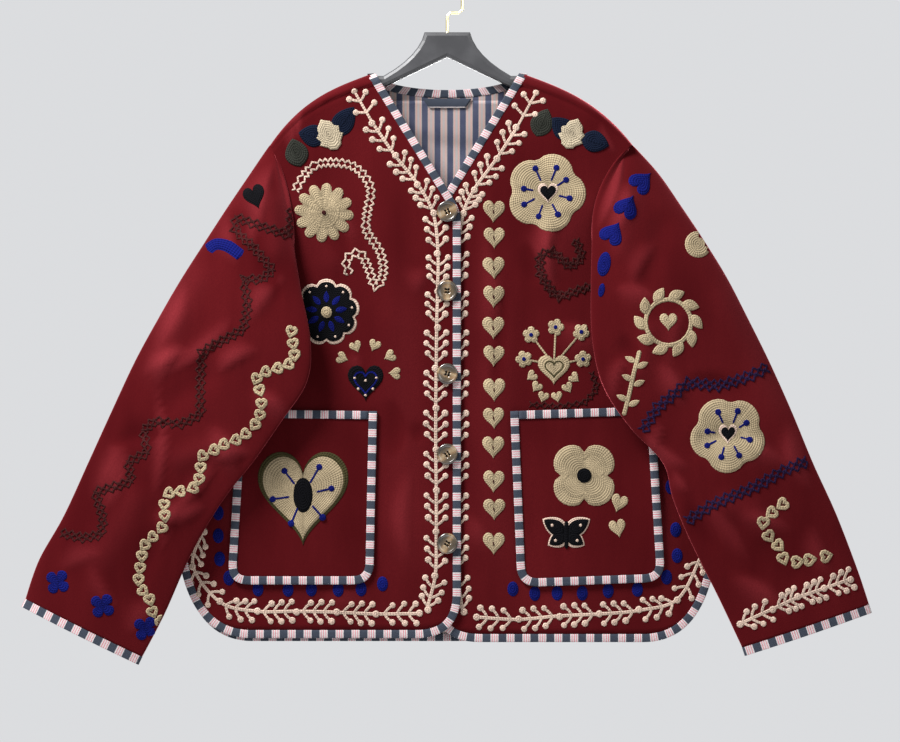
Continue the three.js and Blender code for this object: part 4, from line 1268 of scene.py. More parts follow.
class Stitching:
    """Thread sewn on one side of a cloth. It gathers shapes by colour: each colour is a piece."""

    def __init__(self, cloth, wall, back=False):
        mesh = bpy.data.objects[cloth].data
        self.cloth = cloth
        self.back = back
        self.ray = Vector((0, -1 if back else 1, 0))
        self.lift = wall / 2
        self.raised = settings().stitch.raised / MM
        corners = [vertex.co / MM for vertex in mesh.vertices]
        self.tree = BVHTree.FromPolygons(corners, [list(face.vertices) for face in mesh.polygons])
        self.sewn = {}

    def spot(self, point, height):
        start = Vector((point.x, -self.ray.y * FAR, point.y))
        place, normal, _, _ = self.tree.ray_cast(start, self.ray)
        if place is None:
            return LOST
        if normal.dot(self.ray) > 0:
            normal.negate()
        return place + normal * (self.lift + height)

    def sew(self, colour, us, vs, places, uvs):
        if colour not in self.sewn:
            self.sewn[colour] = bmesh.new()
        bm = self.sewn[colour]
        faces = grid(bm, us, vs, places, uvs)
        for face in faces:
            face.normal_update()
        if sum(face.normal.dot(self.ray) for face in faces) > 0:
            bmesh.ops.reverse_faces(bm, faces=faces)
        corners = {vertex for face in faces for vertex in face.verts}
        lost = [vertex for vertex in corners if vertex.co.y > LOST.y * MM / 2]
        bmesh.ops.delete(bm, geom=lost, context="VERTS")
        bmesh.ops.remove_doubles(bm, verts=[v for v in corners if v.is_valid], dist=JOINED)

    def line(self, colour, points, width, level=0.0):
        """A row of stitches along points."""
        points = spaced([Vector(point) for point in points], ROW_STEP)
        places, lengths = [], lengths_along(points)
        last = len(points) - 1
        for i, point in enumerate(points):
            side = beside(run_at(points, i)) * width * (0.4 if i in (0, last) else 1)
            sunk = -0.9 if i in (0, last) else 0
            heights = [(a, (h + sunk) * self.raised + level) for a, h in ROW_SECTION]
            places.append([self.spot(point + side * a, height) for a, height in heights])
        uvs = lambda i, j: (ROW_SECTION[i][0] * width * MM, lengths[j])
        self.sew(colour, ROW_SECTION, points, places, uvs)

    def zigzag(self, colour, points, reach, tooth, width, phases=(0, 1), gap=0.0, level=0.0):
        """Zigzag rows along points, each begun at its own phase and gap from the middle."""
        path = spaced([Vector(point) for point in points], tooth)
        for number, phase in enumerate(phases):
            row = []
            for i, point in enumerate(path):
                out = reach * (1 if (i + phase) % 2 else -1) + gap * (number - (len(phases) - 1) / 2)
                row.append(point + beside(run_at(path, i)) * (out + uneven(i + 31 * number, 0.35)))
            self.line(colour, row, width, level + 0.15 * number)

    def fill(self, colour, outline, level=0.0):
        """Rows of stitches round and round, in from an outline to its middle."""
        middle = sum(outline, Vector((0, 0))) / len(outline)
        ring = [*outline, outline[0]]
        reach = sum((point - middle).length for point in outline) / len(outline)
        edge = max(1 - 0.7 / reach, 0.55)
        shares = [1.0, edge, *even(max(math.ceil(reach / 4), 1), edge, 0.0)[1:]]
        places = []
        for k, share in enumerate(shares):
            height = level + self.raised * (-0.4 if k == 0 else 0.7 if k == 1 else 1)
            places.append([self.spot(middle.lerp(point, share), height) for point in ring])
        lengths = lengths_along(ring)
        self.sew(colour, ring, shares, places, lambda i, j: ((1 - shares[j]) * reach * MM, lengths[i]))

    def outline(self, colour, shape, width, level=0.0):
        self.line(colour, [*shape, shape[0], shape[1]], width, level)

    def vine(self, colour, nodes):
        """A stem through nodes, with a dot at each and three pairs of dotted twigs between them."""
        steps = 8
        path = flowing(nodes, steps)
        self.line(colour, path, SPINE)
        for i in range(len(nodes) - 1):
            for number, (share, out) in enumerate(TWIGS):
                k = i * steps + share * steps
                base = path[int(k)].lerp(path[int(k) + 1], k - int(k))
                run = (path[int(k) + 1] - path[int(k)]).normalized()
                side = beside(run)
                for hand in (-1, 1):
                    odd = i * 7 + number * 3 + hand
                    tip = base + side * hand * (out + uneven(odd)) + run * (9 + uneven(odd + 50))
                    knee = base + side * hand * out * 0.55 + run * 4
                    self.line(colour, [base, knee, tip], STEM)
                    self.fill(colour, circle(tip.x, tip.y, DOT + uneven(odd + 9, 0.3)), 0.15)
        for i, node in enumerate(nodes):
            x, z = node[0] + uneven(i, 1.4), node[1] + uneven(i + 5, 1.2)
            self.fill(colour, circle(x, z, DOT + 0.4), 0.25)

    def done(self):
        side = "_behind" if self.back else ""
        for colour, bm in self.sewn.items():
            name = f"stitches_{self.cloth.removeprefix('velvet_')}{side}_{colour}"
            made_piece(bm, name, thread(f"thread_{colour}", THREADS[colour]))


# Vines along the edges, by their nodes.
VINE_FRONT_RIGHT = [
    (-22.5, -705), (-13, -666.5), (-12, -620), (-12, -574), (-12.5, -528.5), (-12.5, -484),
    (-12, -440), (-11.5, -396), (-10.5, -355), (-10, -314.5), (-15, -271), (-32.5, -238),
    (-57, -207), (-81.5, -171.5),
]
VINE_HEM_RIGHT = [
    (-268, -619.5), (-279, -656.5), (-249, -696.5), (-208.5, -706.5), (-165.5, -706.5),
    (-121.5, -707.5), (-77, -709.5), (-31.5, -709),
]
VINE_FRONT_LEFT = [
    (17, -707.5), (11, -664.5), (10.5, -620), (10.5, -574), (10.5, -529), (10.5, -484),
    (10.5, -440), (10.5, -396), (10.5, -354), (11.5, -310), (17.5, -271), (30, -243.5),
    (54, -210.5), (76.5, -176),
]
VINE_TOP_RIGHT = [
    ((-81.5, -171.5), (-102, -136)), ((-95, -147.5), (-107.5, -145)),
    ((-95, -147.5), (-89.5, -137)), ((-88.5, -159.5), (-100.5, -159.5)),
    ((-88.5, -159.5), (-80, -148.5)),
]
VINE_TOP_LEFT = [
    ((76.5, -176), (97.5, -137.5)), ((91, -149.5), (105, -146.5)), ((91, -149.5), (84, -139.5)),
    ((84, -163), (96.5, -161.5)), ((84, -163), (74, -152)),
]
VINE_HEM_LEFT = [
    (278, -647), (253, -693), (210.5, -705.5), (166.5, -709.5), (123, -711.5), (78, -715.5),
    (33.5, -713),
]
VINE_CUFF_LEFT = [(318.5, -719.5), (355.5, -702), (382.5, -690), (411, -680.5), (440.5, -670.5)]
VINE_BACK_HEM = [
    (-262, -640), (-246, -690), (-212, -716), (-168, -721), (-124, -721), (-80, -721), (-36, -721),
    (8, -721), (52, -721), (96, -721), (140, -721), (184, -720), (226, -712), (252, -680),
    (264, -636),
]

# Hearts, by their middle, width, height and turn.
HEARTS_LEFT_FRONT = [
    (51, -268.5, 23, 24, 0.05), (51.5, -297.5, 22, 23, 0), (51, -330.5, 23, 24, -0.04),
    (51, -362, 22, 24, 0.03), (50.5, -396, 23, 24, 0), (51, -427, 22, 23, 0.05),
    (51.5, -464, 23, 25, 0), (51, -495, 22, 23, -0.05), (50.5, -527, 23, 24, 0),
    (51, -564.5, 22, 24, 0.04), (51.5, -595, 23, 23, 0), (51, -632.5, 23, 24, 0),
]
HEARTS_BOUQUET = [
    (92, -449, 13, 13, 0.9), (97.5, -461, 13, 13, 0.6), (105, -472, 13, 13, 0.3),
    (120.5, -472, 13, 13, -0.2), (132.5, -462, 13, 13, -0.5), (140, -451, 13, 13, -0.9),
]
HEARTS_RIGHT_FRONT = [
    (-114.5, -429, 14, 14, -1.2), (-100, -417, 14, 14, -0.4), (-80, -415.5, 14, 14, 0.4),
    (-63.5, -427, 14, 14, 1.1), (-58, -445.5, 14, 14, 1.6),
]
DOTS_RIGHT_FRONT = [
    (-251, -598.5), (-251, -623.5), (-249.5, -649), (-239.5, -670), (-207.5, -682),
    (-174.5, -682.5), (-149, -682), (-119.5, -682.5), (-94.5, -682), (-71, -676.5),
]
DOTS_LEFT_FRONT = [
    (72, -682), (96, -687), (120.5, -686.5), (148, -686.5), (176.5, -684), (208.5, -682.5),
    (240.5, -669), (252, -645.5), (250.5, -617), (245, -570),
]


def make_front_stitches():
    right, left = (Stitching(f"velvet_front_{name}", VELVET_WALL) for name in SIDES)
    right.vine("pearl", VINE_FRONT_RIGHT)
    right.vine("pearl", VINE_HEM_RIGHT)
    left.vine("pearl", VINE_FRONT_LEFT)
    left.vine("pearl", VINE_HEM_LEFT)
    for cloth, twigs in ((right, VINE_TOP_RIGHT), (left, VINE_TOP_LEFT)):
        for foot, tip in twigs:
            cloth.line("pearl", [foot, tip], STEM)
            cloth.fill("pearl", circle(*tip, DOT), 0.2)
    for x, z, width, height, turn in HEARTS_LEFT_FRONT:
        left.fill("beige", heart(x, z, 1.08 * width, 1.06 * height, turn))
        left.line("brown", [(x - 1, z + 3.5), (x + 0.5, z - 3.5)], 1.8, 0.6)
    for cloth, dots in ((right, DOTS_RIGHT_FRONT), (left, DOTS_LEFT_FRONT)):
        for x, z in dots:
            cloth.fill("blue", ellipse(x, z, 6.3, 8.5))
    sew_right_front(right)
    sew_left_front(left)
    right.done()
    left.done()


def fill_hearts(cloth, hearts):
    for x, z, width, height, turn in hearts:
        cloth.fill("beige", heart(x, z, width, height, turn))


def heart_flower(cloth, x, z, radius, turn, middle):
    """A flower of five petals, with a heart at middle (x, z, width, height) and blue stamens."""
    at_x, at_z, width, height = middle
    cloth.fill("beige", blossom(x, z, radius, 5, 0.22, turn, 9))
    cloth.fill("pearl", heart(at_x, at_z, width, height), 0.5)
    cloth.fill("black", heart(at_x, at_z, width - 5, height - 5), 0.8)
    stamens(cloth, x, z, 8, 13, radius - 17)


def shoulder_leaves(cloth, leaves):
    """Leaves by colour, base, tip, width and waves. Each may lie over the one before."""
    for number, (colour, base, tip, width, waves) in enumerate(leaves):
        cloth.fill(colour, leaf(*base, *tip, width, waves), 0.3 * number)
        if colour != "cream":
            rib = [Vector(base).lerp(Vector(tip), t) for t in (0.12, 0.85)]
            cloth.line(colour, rib, 2.0, 0.5 + 0.3 * number)


def sew_right_front(cloth):
    zigzag = [
        (-166.5, -246.5), (-160, -233), (-146, -218), (-125, -214.5), (-100.5, -220), (-84, -242),
        (-87.5, -268.5), (-88.5, -289.5), (-74, -311.5), (-70, -335.5), (-78.5, -351),
        (-86.5, -330), (-96.5, -313.5), (-110.5, -321), (-107.5, -337.5),
    ]
    cloth.zigzag("pearl", flowing(zigzag, 4), 1.9, 5.2, 2.2, (0, 1), 6.0)
    cloth.fill("beige", blossom(-135, -269.5, 33, 12, 0.27, 0.1))
    cloth.outline("beige", circle(-135, -269.5, 16, 20), 2.6, 0.5)
    cloth.fill("brown", circle(-135, -269.5, 3.2, 10), 0.7)
    # A round dark flower with blue petals.
    x, z = -132.5, -378.5
    cloth.fill("pearl", blossom(x, z, 37, 9, 0.14))
    cloth.fill("black", blossom(x, z, 34, 9, 0.14), 0.5)
    for k in range(9):
        angle = 2 * math.pi * k / 9
        out = Vector((math.sin(angle), math.cos(angle)))
        cloth.fill("blue", leaf(x + 9 * out.x, z + 9 * out.y, x + 24 * out.x, z + 24 * out.y, 7), 0.9)
        cloth.fill("pearl", circle(x + 28.5 * out.x, z + 28.5 * out.y, 1.9, 8), 1.0)
    cloth.fill("beige", circle(x, z, 6.5, 12), 1.0)
    fill_hearts(cloth, HEARTS_RIGHT_FRONT)
    # A small dark heart with pale dots.
    x, z = -89.5, -456.5
    cloth.fill("black", heart(x, z, 40, 40), 0.2)
    cloth.outline("blue", heart(x, z, 25, 25), 2.2, 0.8)
    for dx, dz in ((-12, 6), (12, 6), (-8, -6), (8, -6), (0, -13), (0, 3)):
        cloth.fill("pearl", circle(x + dx, z + dz, 1.8, 8), 1.0)
    leaves = [
        ("navy", (-125, -186), (-102, -153), 25, 0),
        ("navy", (-132.5, -188), (-163.5, -181.5), 25, 0),
        ("green", (-161, -219), (-170, -188), 26, 0),
        ("cream", (-120.5, -200), (-139, -167), 27, 4),
    ]
    shoulder_leaves(cloth, leaves)


def stamens(cloth, x, z, number, start, end, level=0.6):
    """Blue lines out from a flower's middle, each with a dot at its end."""
    for k in range(number):
        angle = 2 * math.pi * (k + 0.35 + uneven(k, 0.15)) / number
        out = Vector((math.sin(angle), math.cos(angle)))
        foot, tip = Vector((x, z)) + out * start, Vector((x, z)) + out * (end + uneven(k, 2.5))
        cloth.line("blue", [foot, tip], 2.6, level)
        cloth.fill("blue", circle(*tip, 3.9), level + 0.1)


def sew_left_front(cloth):
    leaves = [
        ("green", (97.5, -186), (110.5, -155), 25, 0), ("navy", (139, -189), (115, -165), 24, 0),
        ("navy", (147, -187), (177.5, -196), 24, 0), ("cream", (130.5, -199), (143.5, -166), 27, 4),
    ]
    shoulder_leaves(cloth, leaves)
    heart_flower(cloth, 108.5, -247.5, 44, 0.35, (110.5, -248.5, 24, 24))
    zigzag = [
        (140, -298), (148, -318), (135, -329), (115, -311.5), (102, -315.5), (102, -336.5),
        (113, -354), (122.5, -362), (144.5, -354), (165.5, -348.5),
    ]
    cloth.zigzag("brown", zigzag, 3.0, 4.8, 2.0, (0, 1, 0), 2.6)
    zigzag = [(158, -443.5), (164.5, -462), (151, -477.5), (124, -482), (89.5, -479.5)]
    cloth.zigzag("brown", zigzag, 2.6, 4.6, 1.7, (0, 1), 2.4)
    cloth.fill("beige", heart(117, -442, 36, 33), 0.2)
    cloth.outline("olive", heart(117, -441, 20, 18), 1.8, 0.8)
    sprigs = [(92, -403.5), (119, -395), (147, -400.5), (84, -430), (149, -430)]
    for number, (x, z) in enumerate(sprigs):
        cloth.line("beige", [(117, -436.5), (x, z)], 2.2)
        cloth.fill("beige", blossom(x, z, 9.5, 5, 0.3, 0.3 * number), 0.3)
        cloth.fill("blue", circle(x, z, 2.8, 8), 0.9)
    fill_hearts(cloth, HEARTS_BOUQUET)


def make_pocket_stitches():
    cloth = Stitching("velvet_pocket_right", POCKET_WALL)
    x, z = -158, -583
    cloth.fill("olive", heart(x, z, 100, 104))
    cloth.fill("beige", heart(x, z, 90, 94), 0.5)
    cloth.fill("black", ellipse(x, z + 4, 11, 20), 0.9)
    stamens(cloth, x, z + 4, 6, 14, 33, 1.1)
    cloth.done()

    cloth = Stitching("velvet_pocket_left", POCKET_WALL)
    x, z = 150, -557.5
    cloth.fill("beige", blossom(x, z, 39, 4, 0.34, math.pi / 4, 10))
    cloth.outline("beige", blossom(x, z, 27, 4, 0.34, math.pi / 4, 10), 2.4, 0.45)
    cloth.fill("black", circle(x, z, 8.5, 14), 0.8)
    fill_hearts(cloth, [(188, -588.5, 19, 21, 0.3), (187, -616, 19, 21, -0.2)])
    x, z = 130.5, -621.5
    for hand in (-1, 1):
        for up, reach, width in ((1, 25, 17), (-1, 19, 15)):
            tip = (x + hand * reach, z + up * reach * 0.62)
            cloth.fill("pearl", leaf(x - hand * 2, z, tip[0] + hand * 1.5, tip[1] + up, width + 4))
            cloth.fill("black", leaf(x, z, *tip, width), 0.5)
            cloth.fill("pearl", circle(x + hand * reach * 0.62, z + up * reach * 0.38, 2.2, 8), 1.0)
    cloth.line("black", [(x, z + 14), (x, z - 16)], 4.5, 1.0)
    cloth.done()


# Wandering bands on the sleeves.
BAND_RIGHT = [
    (-171, -264), (-173, -295), (-199.5, -286), (-231, -275), (-233, -288.5), (-210, -309),
    (-190.5, -333), (-203.5, -344), (-222, -342), (-217, -371.5), (-222, -397.5), (-253, -414),
    (-268, -422.5), (-269, -451), (-269, -490.5), (-290, -501), (-319.5, -498), (-331.5, -508),
    (-327, -532), (-348, -542.5), (-344.5, -563.5), (-384, -575.5), (-375, -605), (-377.5, -621.5),
    (-398, -625.5), (-423, -620),
]
CHAIN_RIGHT = [
    (-162, -388.5), (-170, -400.5), (-167.5, -416), (-167.5, -431.5), (-182, -439), (-197, -443.5),
    (-208, -452), (-203.5, -466.5), (-202.5, -483.5), (-208, -499), (-218, -510), (-229, -517.5),
    (-239.5, -521), (-253, -528.5), (-267, -536), (-269, -553.5), (-273.5, -568), (-287.5, -573.5),
    (-304, -576.5), (-308.5, -589.5), (-307.5, -605), (-313, -616), (-330.5, -633.5),
    (-333.5, -649.5), (-336, -664), (-336, -678), (-326, -689), (-321.5, -706.5), (-312, -717.5),
]
BANDS_LEFT = [
    [(212.5, -509), (229, -482.5), (262.5, -455.5), (295.5, -459.5), (327, -450), (351, -439)],
    [(260.5, -607), (291, -587.5), (336, -569), (367.5, -551.5), (393.5, -541.5)],
]
CHAIN_LEFT = [
    (379.5, -578.5), (360, -593), (344.5, -607), (351, -623.5), (363, -635.5), (369.5, -651),
    (392.5, -649.5), (424, -643),
]


def small_hearts(cloth, places, size, step):
    """Hearts along a way, each pointing on to the next."""
    path = flowing(places, 8)
    passed, number = 0.0, 0
    for a, b in zip(path, path[1:]):
        passed += (b - a).length
        if passed >= step:
            passed -= step
            number += 1
            run = b - a
            shape = heart(b.x, b.y, size * 0.64, size * 0.66, math.atan2(-run.x, -run.y), 14)
            cloth.outline("beige", shape, size * 0.27, 0.15 * (number % 2))


def make_sleeve_stitches():
    cloth = Stitching("velvet_sleeve_right", VELVET_WALL)
    cloth.fill("black", heart(-210, -253.5, 25, 28, -0.35))
    bow = [(-262.5, -311), (-253, -304.5), (-239.5, -307), (-224.5, -317.5)]
    cloth.line("blue", flowing(bow, 4), 14)
    cloth.zigzag("brown", BAND_RIGHT, 2.6, 5.0, 2.0, (0, 1, 0), 3.0)
    small_hearts(cloth, CHAIN_RIGHT, 15.5, 13.2)
    for x, z in ((-425.5, -673.5), (-376, -699), (-329, -724)):
        cloth.fill("blue", blossom(x, z, 14.5, 4, 0.52, 0.62, 8))
    cloth.done()

    cloth = Stitching("velvet_sleeve_left", VELVET_WALL)
    for x, z, turn in ((214, -235, -2.35), (197, -262.5, -2.65), (181.5, -291.5, -2.6)):
        cloth.fill("blue", heart(x, z, 27, 27, turn))
    for x, z, half_width, half_height in ((171.5, -326.5, 7.2, 14), (168.5, -355, 3.6, 8)):
        cloth.fill("blue", ellipse(x, z, half_width, half_height, 0.2))
    cloth.fill("beige", ellipse(274.5, -304.5, 15, 15))
    # A beige ring of leaves round a heart, with a trail below it.
    x, z = 241, -390
    for k in range(10):
        angle = 2 * math.pi * k / 10
        foot = Vector((x + 26 * math.sin(angle), z + 26 * math.cos(angle)))
        tip = Vector((x + 38 * math.sin(angle + 0.5), z + 38 * math.cos(angle + 0.5)))
        cloth.fill("beige", leaf(*foot, *tip, 12), 0.2)
    cloth.outline("beige", ellipse(x, z, 25, 25), 5)
    cloth.fill("beige", heart(x, z, 20, 20))
    cloth.line("beige", flowing([(210, -420.5), (203.5, -444.5), (198, -469.5), (192.5, -491.5)], 5), 5)
    for x, z in ((206, -433.5), (202.5, -453), (197, -475)):
        cloth.fill("beige", leaf(x, z, x - 13, z + 6, 7))
        cloth.fill("beige", leaf(x, z - 6, x + 13, z, 7))
    for band in BANDS_LEFT:
        cloth.zigzag("plum", band, 3.4, 5.4, 2.2, (0, 1, 0), 3.4)
    heart_flower(cloth, 306, -512.5, 42, 0.7, (306, -512.5, 22, 24))
    small_hearts(cloth, CHAIN_LEFT, 17, 15.5)
    cloth.vine("pearl", VINE_CUFF_LEFT)
    cloth.done()


def make_back_stitches():
    cloth = Stitching("velvet_back", VELVET_WALL, back=True)
    cloth.vine("pearl", VINE_BACK_HEM)
    cloth.done()
    cloth = Stitching("velvet_sleeve_left", VELVET_WALL, back=True)
    cloth.vine("pearl", [(336, -719), (374, -702), (411, -685), (446, -669)])
    cloth.done()


# Finishes.


class Finish:
    """A Principled surface, with short calls that add nodes and join them."""

    def __init__(self, name, **sockets):
        self.material = bpy.data.materials.new(name)
        self.material.use_nodes = True
        self.nodes = self.material.node_tree.nodes
        self.links = self.material.node_tree.links
        self.surface = self.nodes["Principled BSDF"]
        for socket, value in sockets.items():
            self.surface.inputs[socket.replace("_", " ")].default_value = value

    def add(self, kind, inputs=None, **options):
        node = self.nodes.new(kind)
        for option, value in options.items():
            setattr(node, option, value)
        for socket, value in (inputs or {}).items():
            if isinstance(value, bpy.types.NodeSocket):
                self.links.new(value, node.inputs[socket])
            else:
                node.inputs[socket].default_value = value
        return node

    def coordinates(self, kind="Object", scale=(1, 1, 1), turn=(0, 0, 0)):
        source = self.add("ShaderNodeTexCoord").outputs[kind]
        mapping = self.add("ShaderNodeMapping", {"Vector": source, "Scale": scale, "Rotation": turn})
        return mapping.outputs[0]

    def noise(self, vector, scale, detail=3.0, rough=0.5):
        inputs = {"Vector": vector, "Scale": scale, "Detail": detail, "Roughness": rough}
        return self.add("ShaderNodeTexNoise", inputs).outputs[0]

    def wave(self, vector, period, direction, distortion=0.0):
        scale = 2 * math.pi / (20 * period)
        inputs = {"Vector": vector, "Scale": scale, "Distortion": distortion}
        node = self.add("ShaderNodeTexWave", inputs)
        node.wave_profile = "SIN"
        node.bands_direction = direction
        return node.outputs[1]

    def ramp(self, factor, stops, mode="LINEAR"):
        node = self.add("ShaderNodeValToRGB", {"Fac": factor})
        node.color_ramp.interpolation = mode
        elements = node.color_ramp.elements
        while len(elements) < len(stops):
            elements.new(0.5)
        for element, (position, value) in zip(elements, stops):
            element.position = position
            element.color = (*value, 1) if hasattr(value, "__len__") else (value, value, value, 1)
        return node.outputs[0]

    def along_map(self, axis, size):
        """The piece's own map along an axis, as shares of size."""
        uv = self.add("ShaderNodeUVMap").outputs[0]
        place = self.add("ShaderNodeSeparateXYZ", {0: uv}).outputs[axis]
        return uv, self.sum("MULTIPLY", place, 1 / size)

    def sum(self, operation, a, b):
        return self.add("ShaderNodeMath", {0: a, 1: b}, operation=operation).outputs[0]

    def mix(self, factor, a, b, mode="MIX"):
        node = self.add("ShaderNodeMix", {0: factor, 6: a, 7: b}, data_type="RGBA", blend_type=mode)
        return node.outputs[2]

    def bump(self, height, distance, strength=1.0, below=None):
        inputs = {"Height": height, "Distance": distance, "Strength": strength}
        if below is not None:
            inputs["Normal"] = below
        return self.add("ShaderNodeBump", inputs).outputs[0]

    def done(self, colour=None, normal=None, rough=None):
        for socket, value in (("Base Color", colour), ("Normal", normal), ("Roughness", rough)):
            if value is not None:
                self.links.new(value, self.surface.inputs[socket])
        return self.material


def kept(make):
    """Makes a finish once and gives the same one again."""
    made = {}

    def again(*key):
        if key not in made:
            made[key] = make(*key)
        return made[key]

    return again


VELVET_SHEEN = (0.8, 0.14, 0.17, 1)
# Painted shade: dark velvet laid in the grooves of folds and creases.
VELVET_GROOVE_SHADE = (0.012, 0.0005, 0.0008, 1)
PILE_SHADE = (0.02, 0.001, 0.002, 1)
LINING_RED, LINING_BLUE, LINING_SHADE = (0.24, 0.1, 0.1), (0.13, 0.13, 0.15), (0.1, 0.1, 0.12, 1)


@kept
def velvet():
    c = settings().colours
    f = Finish(
        "velvet", Roughness=0.95, Sheen_Weight=0.4, Sheen_Roughness=0.4, Sheen_Tint=VELVET_SHEEN,
        Specular_IOR_Level=0.0,
    )
    at = f.coordinates()
    broad = f.noise(at, 7.0, 2.0, 0.5)
    tall = f.noise(f.coordinates(scale=(22, 22, 5)), 1.0, 3.0, 0.55)
    pile = f.noise(at, 900.0, 2.0, 0.6)
    # Partly real and partly painted light: random patches of the pile's tone, and tall streaks
    # stretched down the cloth that stand in for its soft highlights.
    pile_tone_and_streak_light = f.ramp(f.mix(0.5, broad, tall), [(0.34, 0.0), (0.66, 1.0)])
    colour = f.mix(pile_tone_and_streak_light, (*c.velvet_pile_tone_and_shade, 1), (*c.velvet, 1))
    ridge = f.add("ShaderNodeAttribute", attribute_name="ridge").outputs["Fac"]
    # Painted shade: the grooves of folds and creases are darkened.
    groove_shade = f.ramp(f.sum("MULTIPLY", ridge, -1.0), [(0.0, 0.0), (0.8, 0.7)])
    colour = f.mix(groove_shade, colour, VELVET_GROOVE_SHADE)
    # Painted highlight: the ridges of folds and creases take the lighter velvet.
    colour = f.mix(f.ramp(ridge, [(0.0, 0.0), (1.0, 1.0)]), colour, (*c.velvet_ridge_highlight, 1))
    colour = f.mix(f.ramp(pile, [(0.35, 0.62), (0.65, 1.0)]), PILE_SHADE, colour)
    normal = f.bump(pile, 0.0005, 0.5, f.bump(tall, 0.002, 0.35))
    return f.done(colour, normal)


@kept
def lining():
    c = settings().colours
    f = Finish("lining", Roughness=0.75, Sheen_Weight=0.05, Specular_IOR_Level=0.2)
    uv, part = f.along_map(0, settings().cloth.lining_stripe)
    light = tuple(c.lining_light)
    stripes = [
        (0.0, tuple(c.lining_dark)), (0.46, light), (0.54, LINING_RED), (0.58, light),
        (0.7, LINING_BLUE), (0.74, light), (0.86, LINING_RED), (0.9, light),
    ]
    colour = f.ramp(f.sum("FRACT", part, 0.0), stripes, "CONSTANT")
    threads = f.mix(0.5, f.wave(uv, 0.0007, "X"), f.wave(uv, 0.0007, "Y"))
    worn = f.ramp(f.noise(f.coordinates(), 60.0), [(0.3, 0.12), (0.7, 0.0)])
    return f.done(f.mix(worn, colour, LINING_SHADE), f.bump(threads, 0.0002, 0.5))


def woven_tape(name, size, stripes, darkest, repeated):
    """A woven tape with stripes across it, by their places along it as shares of size."""
    f = Finish(name, Roughness=0.8, Sheen_Weight=0.05, Specular_IOR_Level=0.2)
    uv, part = f.along_map(1, size)
    if repeated:
        part = f.sum("FRACT", part, 0.0)
    weave = f.mix(0.5, f.wave(uv, 0.0009, "X"), f.wave(uv, 0.0011, "Y"))
    grain = f.mix(0.5, weave, f.noise(f.coordinates(), 220.0))
    shade = f.ramp(grain, [(0.2, darkest), (0.75, 1.0)])
    colour = f.mix(1.0, f.ramp(part, stripes, "CONSTANT"), shade, "MULTIPLY")
    return f.done(colour, f.bump(weave, 0.00035, 0.6))


@kept
def tape():
    c = settings().colours
    white, line = tuple(c.tape_white), tuple(c.tape_line)
    stripes = [
        (0.0, tuple(c.tape_dark)), (0.5, white), (0.575, line), (0.615, white),
        (0.72, line), (0.76, white), (0.865, line), (0.905, white),
    ]
    return woven_tape("striped_tape", settings().tape.repeat, stripes, 0.72, True)


@kept
def loop_tape():
    c = settings().colours
    stripes = [(0.0, tuple(c.tape_white)), (0.12, tuple(c.tape_dark))]
    return woven_tape("navy_tape", LOOP_HEIGHT * MM, stripes, 0.7, False)


@kept
def thread(name, value):
    """Chain stitch in one colour, in rows that follow the piece's own map."""
    s = settings().stitch
    f = Finish(name, Roughness=1.0, Specular_IOR_Level=0.03)
    uv = f.add("ShaderNodeUVMap").outputs[0]
    rows = f.wave(uv, s.row, "X")
    chains = f.wave(uv, s.chain, "Y")
    height = f.mix(0.4, rows, chains)
    fine = f.noise(f.coordinates(), 700.0, 2.0)
    patchy = f.noise(f.coordinates(), 45.0, 2.0)
    # Painted shade: the thread darkens in the grooves between its rows and chains and keeps its full
    # colour where it stands highest.
    stitch_groove_shade = tuple(0.42 * part for part in value)
    light = tuple(min(1.12 * part, 1) for part in value)
    raised = f.ramp(f.mix(0.35, height, fine), [(0.18, 0.0), (0.5, 1.0)])
    colour = f.mix(raised, (*stitch_groove_shade, 1), (*value, 1))
    colour = f.mix(f.ramp(patchy, [(0.42, 0.0), (0.66, 1.0)]), colour, (*light, 1))
    return f.done(colour, f.bump(height, 0.0009, 0.9, f.bump(fine, 0.0002, 0.4)))


HORN_DARK, HORN_OLIVE, HORN_OCHRE = (0.009, 0.006, 0.004), (0.035, 0.023, 0.011), (0.095, 0.055, 0.024)
HORN_PALE, HORN_FIBRE = (0.15, 0.11, 0.064), (0.03, 0.022, 0.01, 1)
HORN_BANDS = [
    (0.1, HORN_DARK), (0.3, HORN_OLIVE), (0.4, HORN_OCHRE), (0.52, HORN_PALE),
    (0.62, HORN_OCHRE), (0.7, HORN_OLIVE), (0.86, HORN_DARK),
]


@kept
def horn():
    f = Finish("horn", Roughness=0.24, Specular_IOR_Level=0.5, Coat_Weight=0.3, Coat_Roughness=0.12)
    uv = f.add("ShaderNodeUVMap").outputs[0]
    stretched = f.add("ShaderNodeMapping", {"Vector": uv, "Scale": (1.0, 0.35, 1.0)}).outputs[0]
    wander = f.noise(stretched, 5.0, 4.0, 0.6)
    across = f.add("ShaderNodeSeparateXYZ", {0: uv}).outputs[0]
    place = f.sum("ADD", across, f.sum("MULTIPLY", f.sum("SUBTRACT", wander, 0.5), 0.42))
    colour = f.ramp(place, HORN_BANDS)
    fibres = f.add("ShaderNodeMapping", {"Vector": uv, "Scale": (9.0, 1.2, 1.0)}).outputs[0]
    grain = f.noise(fibres, 6.0, 4.0)
    colour = f.mix(f.ramp(grain, [(0.36, 0.3), (0.64, 0.0)]), colour, HORN_FIBRE)
    return f.done(colour, f.bump(grain, 0.0001, 0.3), f.ramp(grain, [(0.3, 0.34), (0.7, 0.2)]))


@kept
def plastic():
    f = Finish("hanger_plastic", Roughness=0.42, Specular_IOR_Level=0.4)
    at = f.coordinates()
    grain = f.noise(at, 1400.0, 2.0)
    worn = f.noise(at, 30.0, 4.0)
    c = tuple(settings().colours.plastic)
    colour = f.mix(f.ramp(worn, [(0.4, 0.0), (0.7, 1.0)]), (*c, 1), (*(1.35 * part for part in c), 1))
    return f.done(colour, f.bump(grain, 0.0001, 0.25), f.ramp(worn, [(0.35, 0.38), (0.7, 0.52)]))


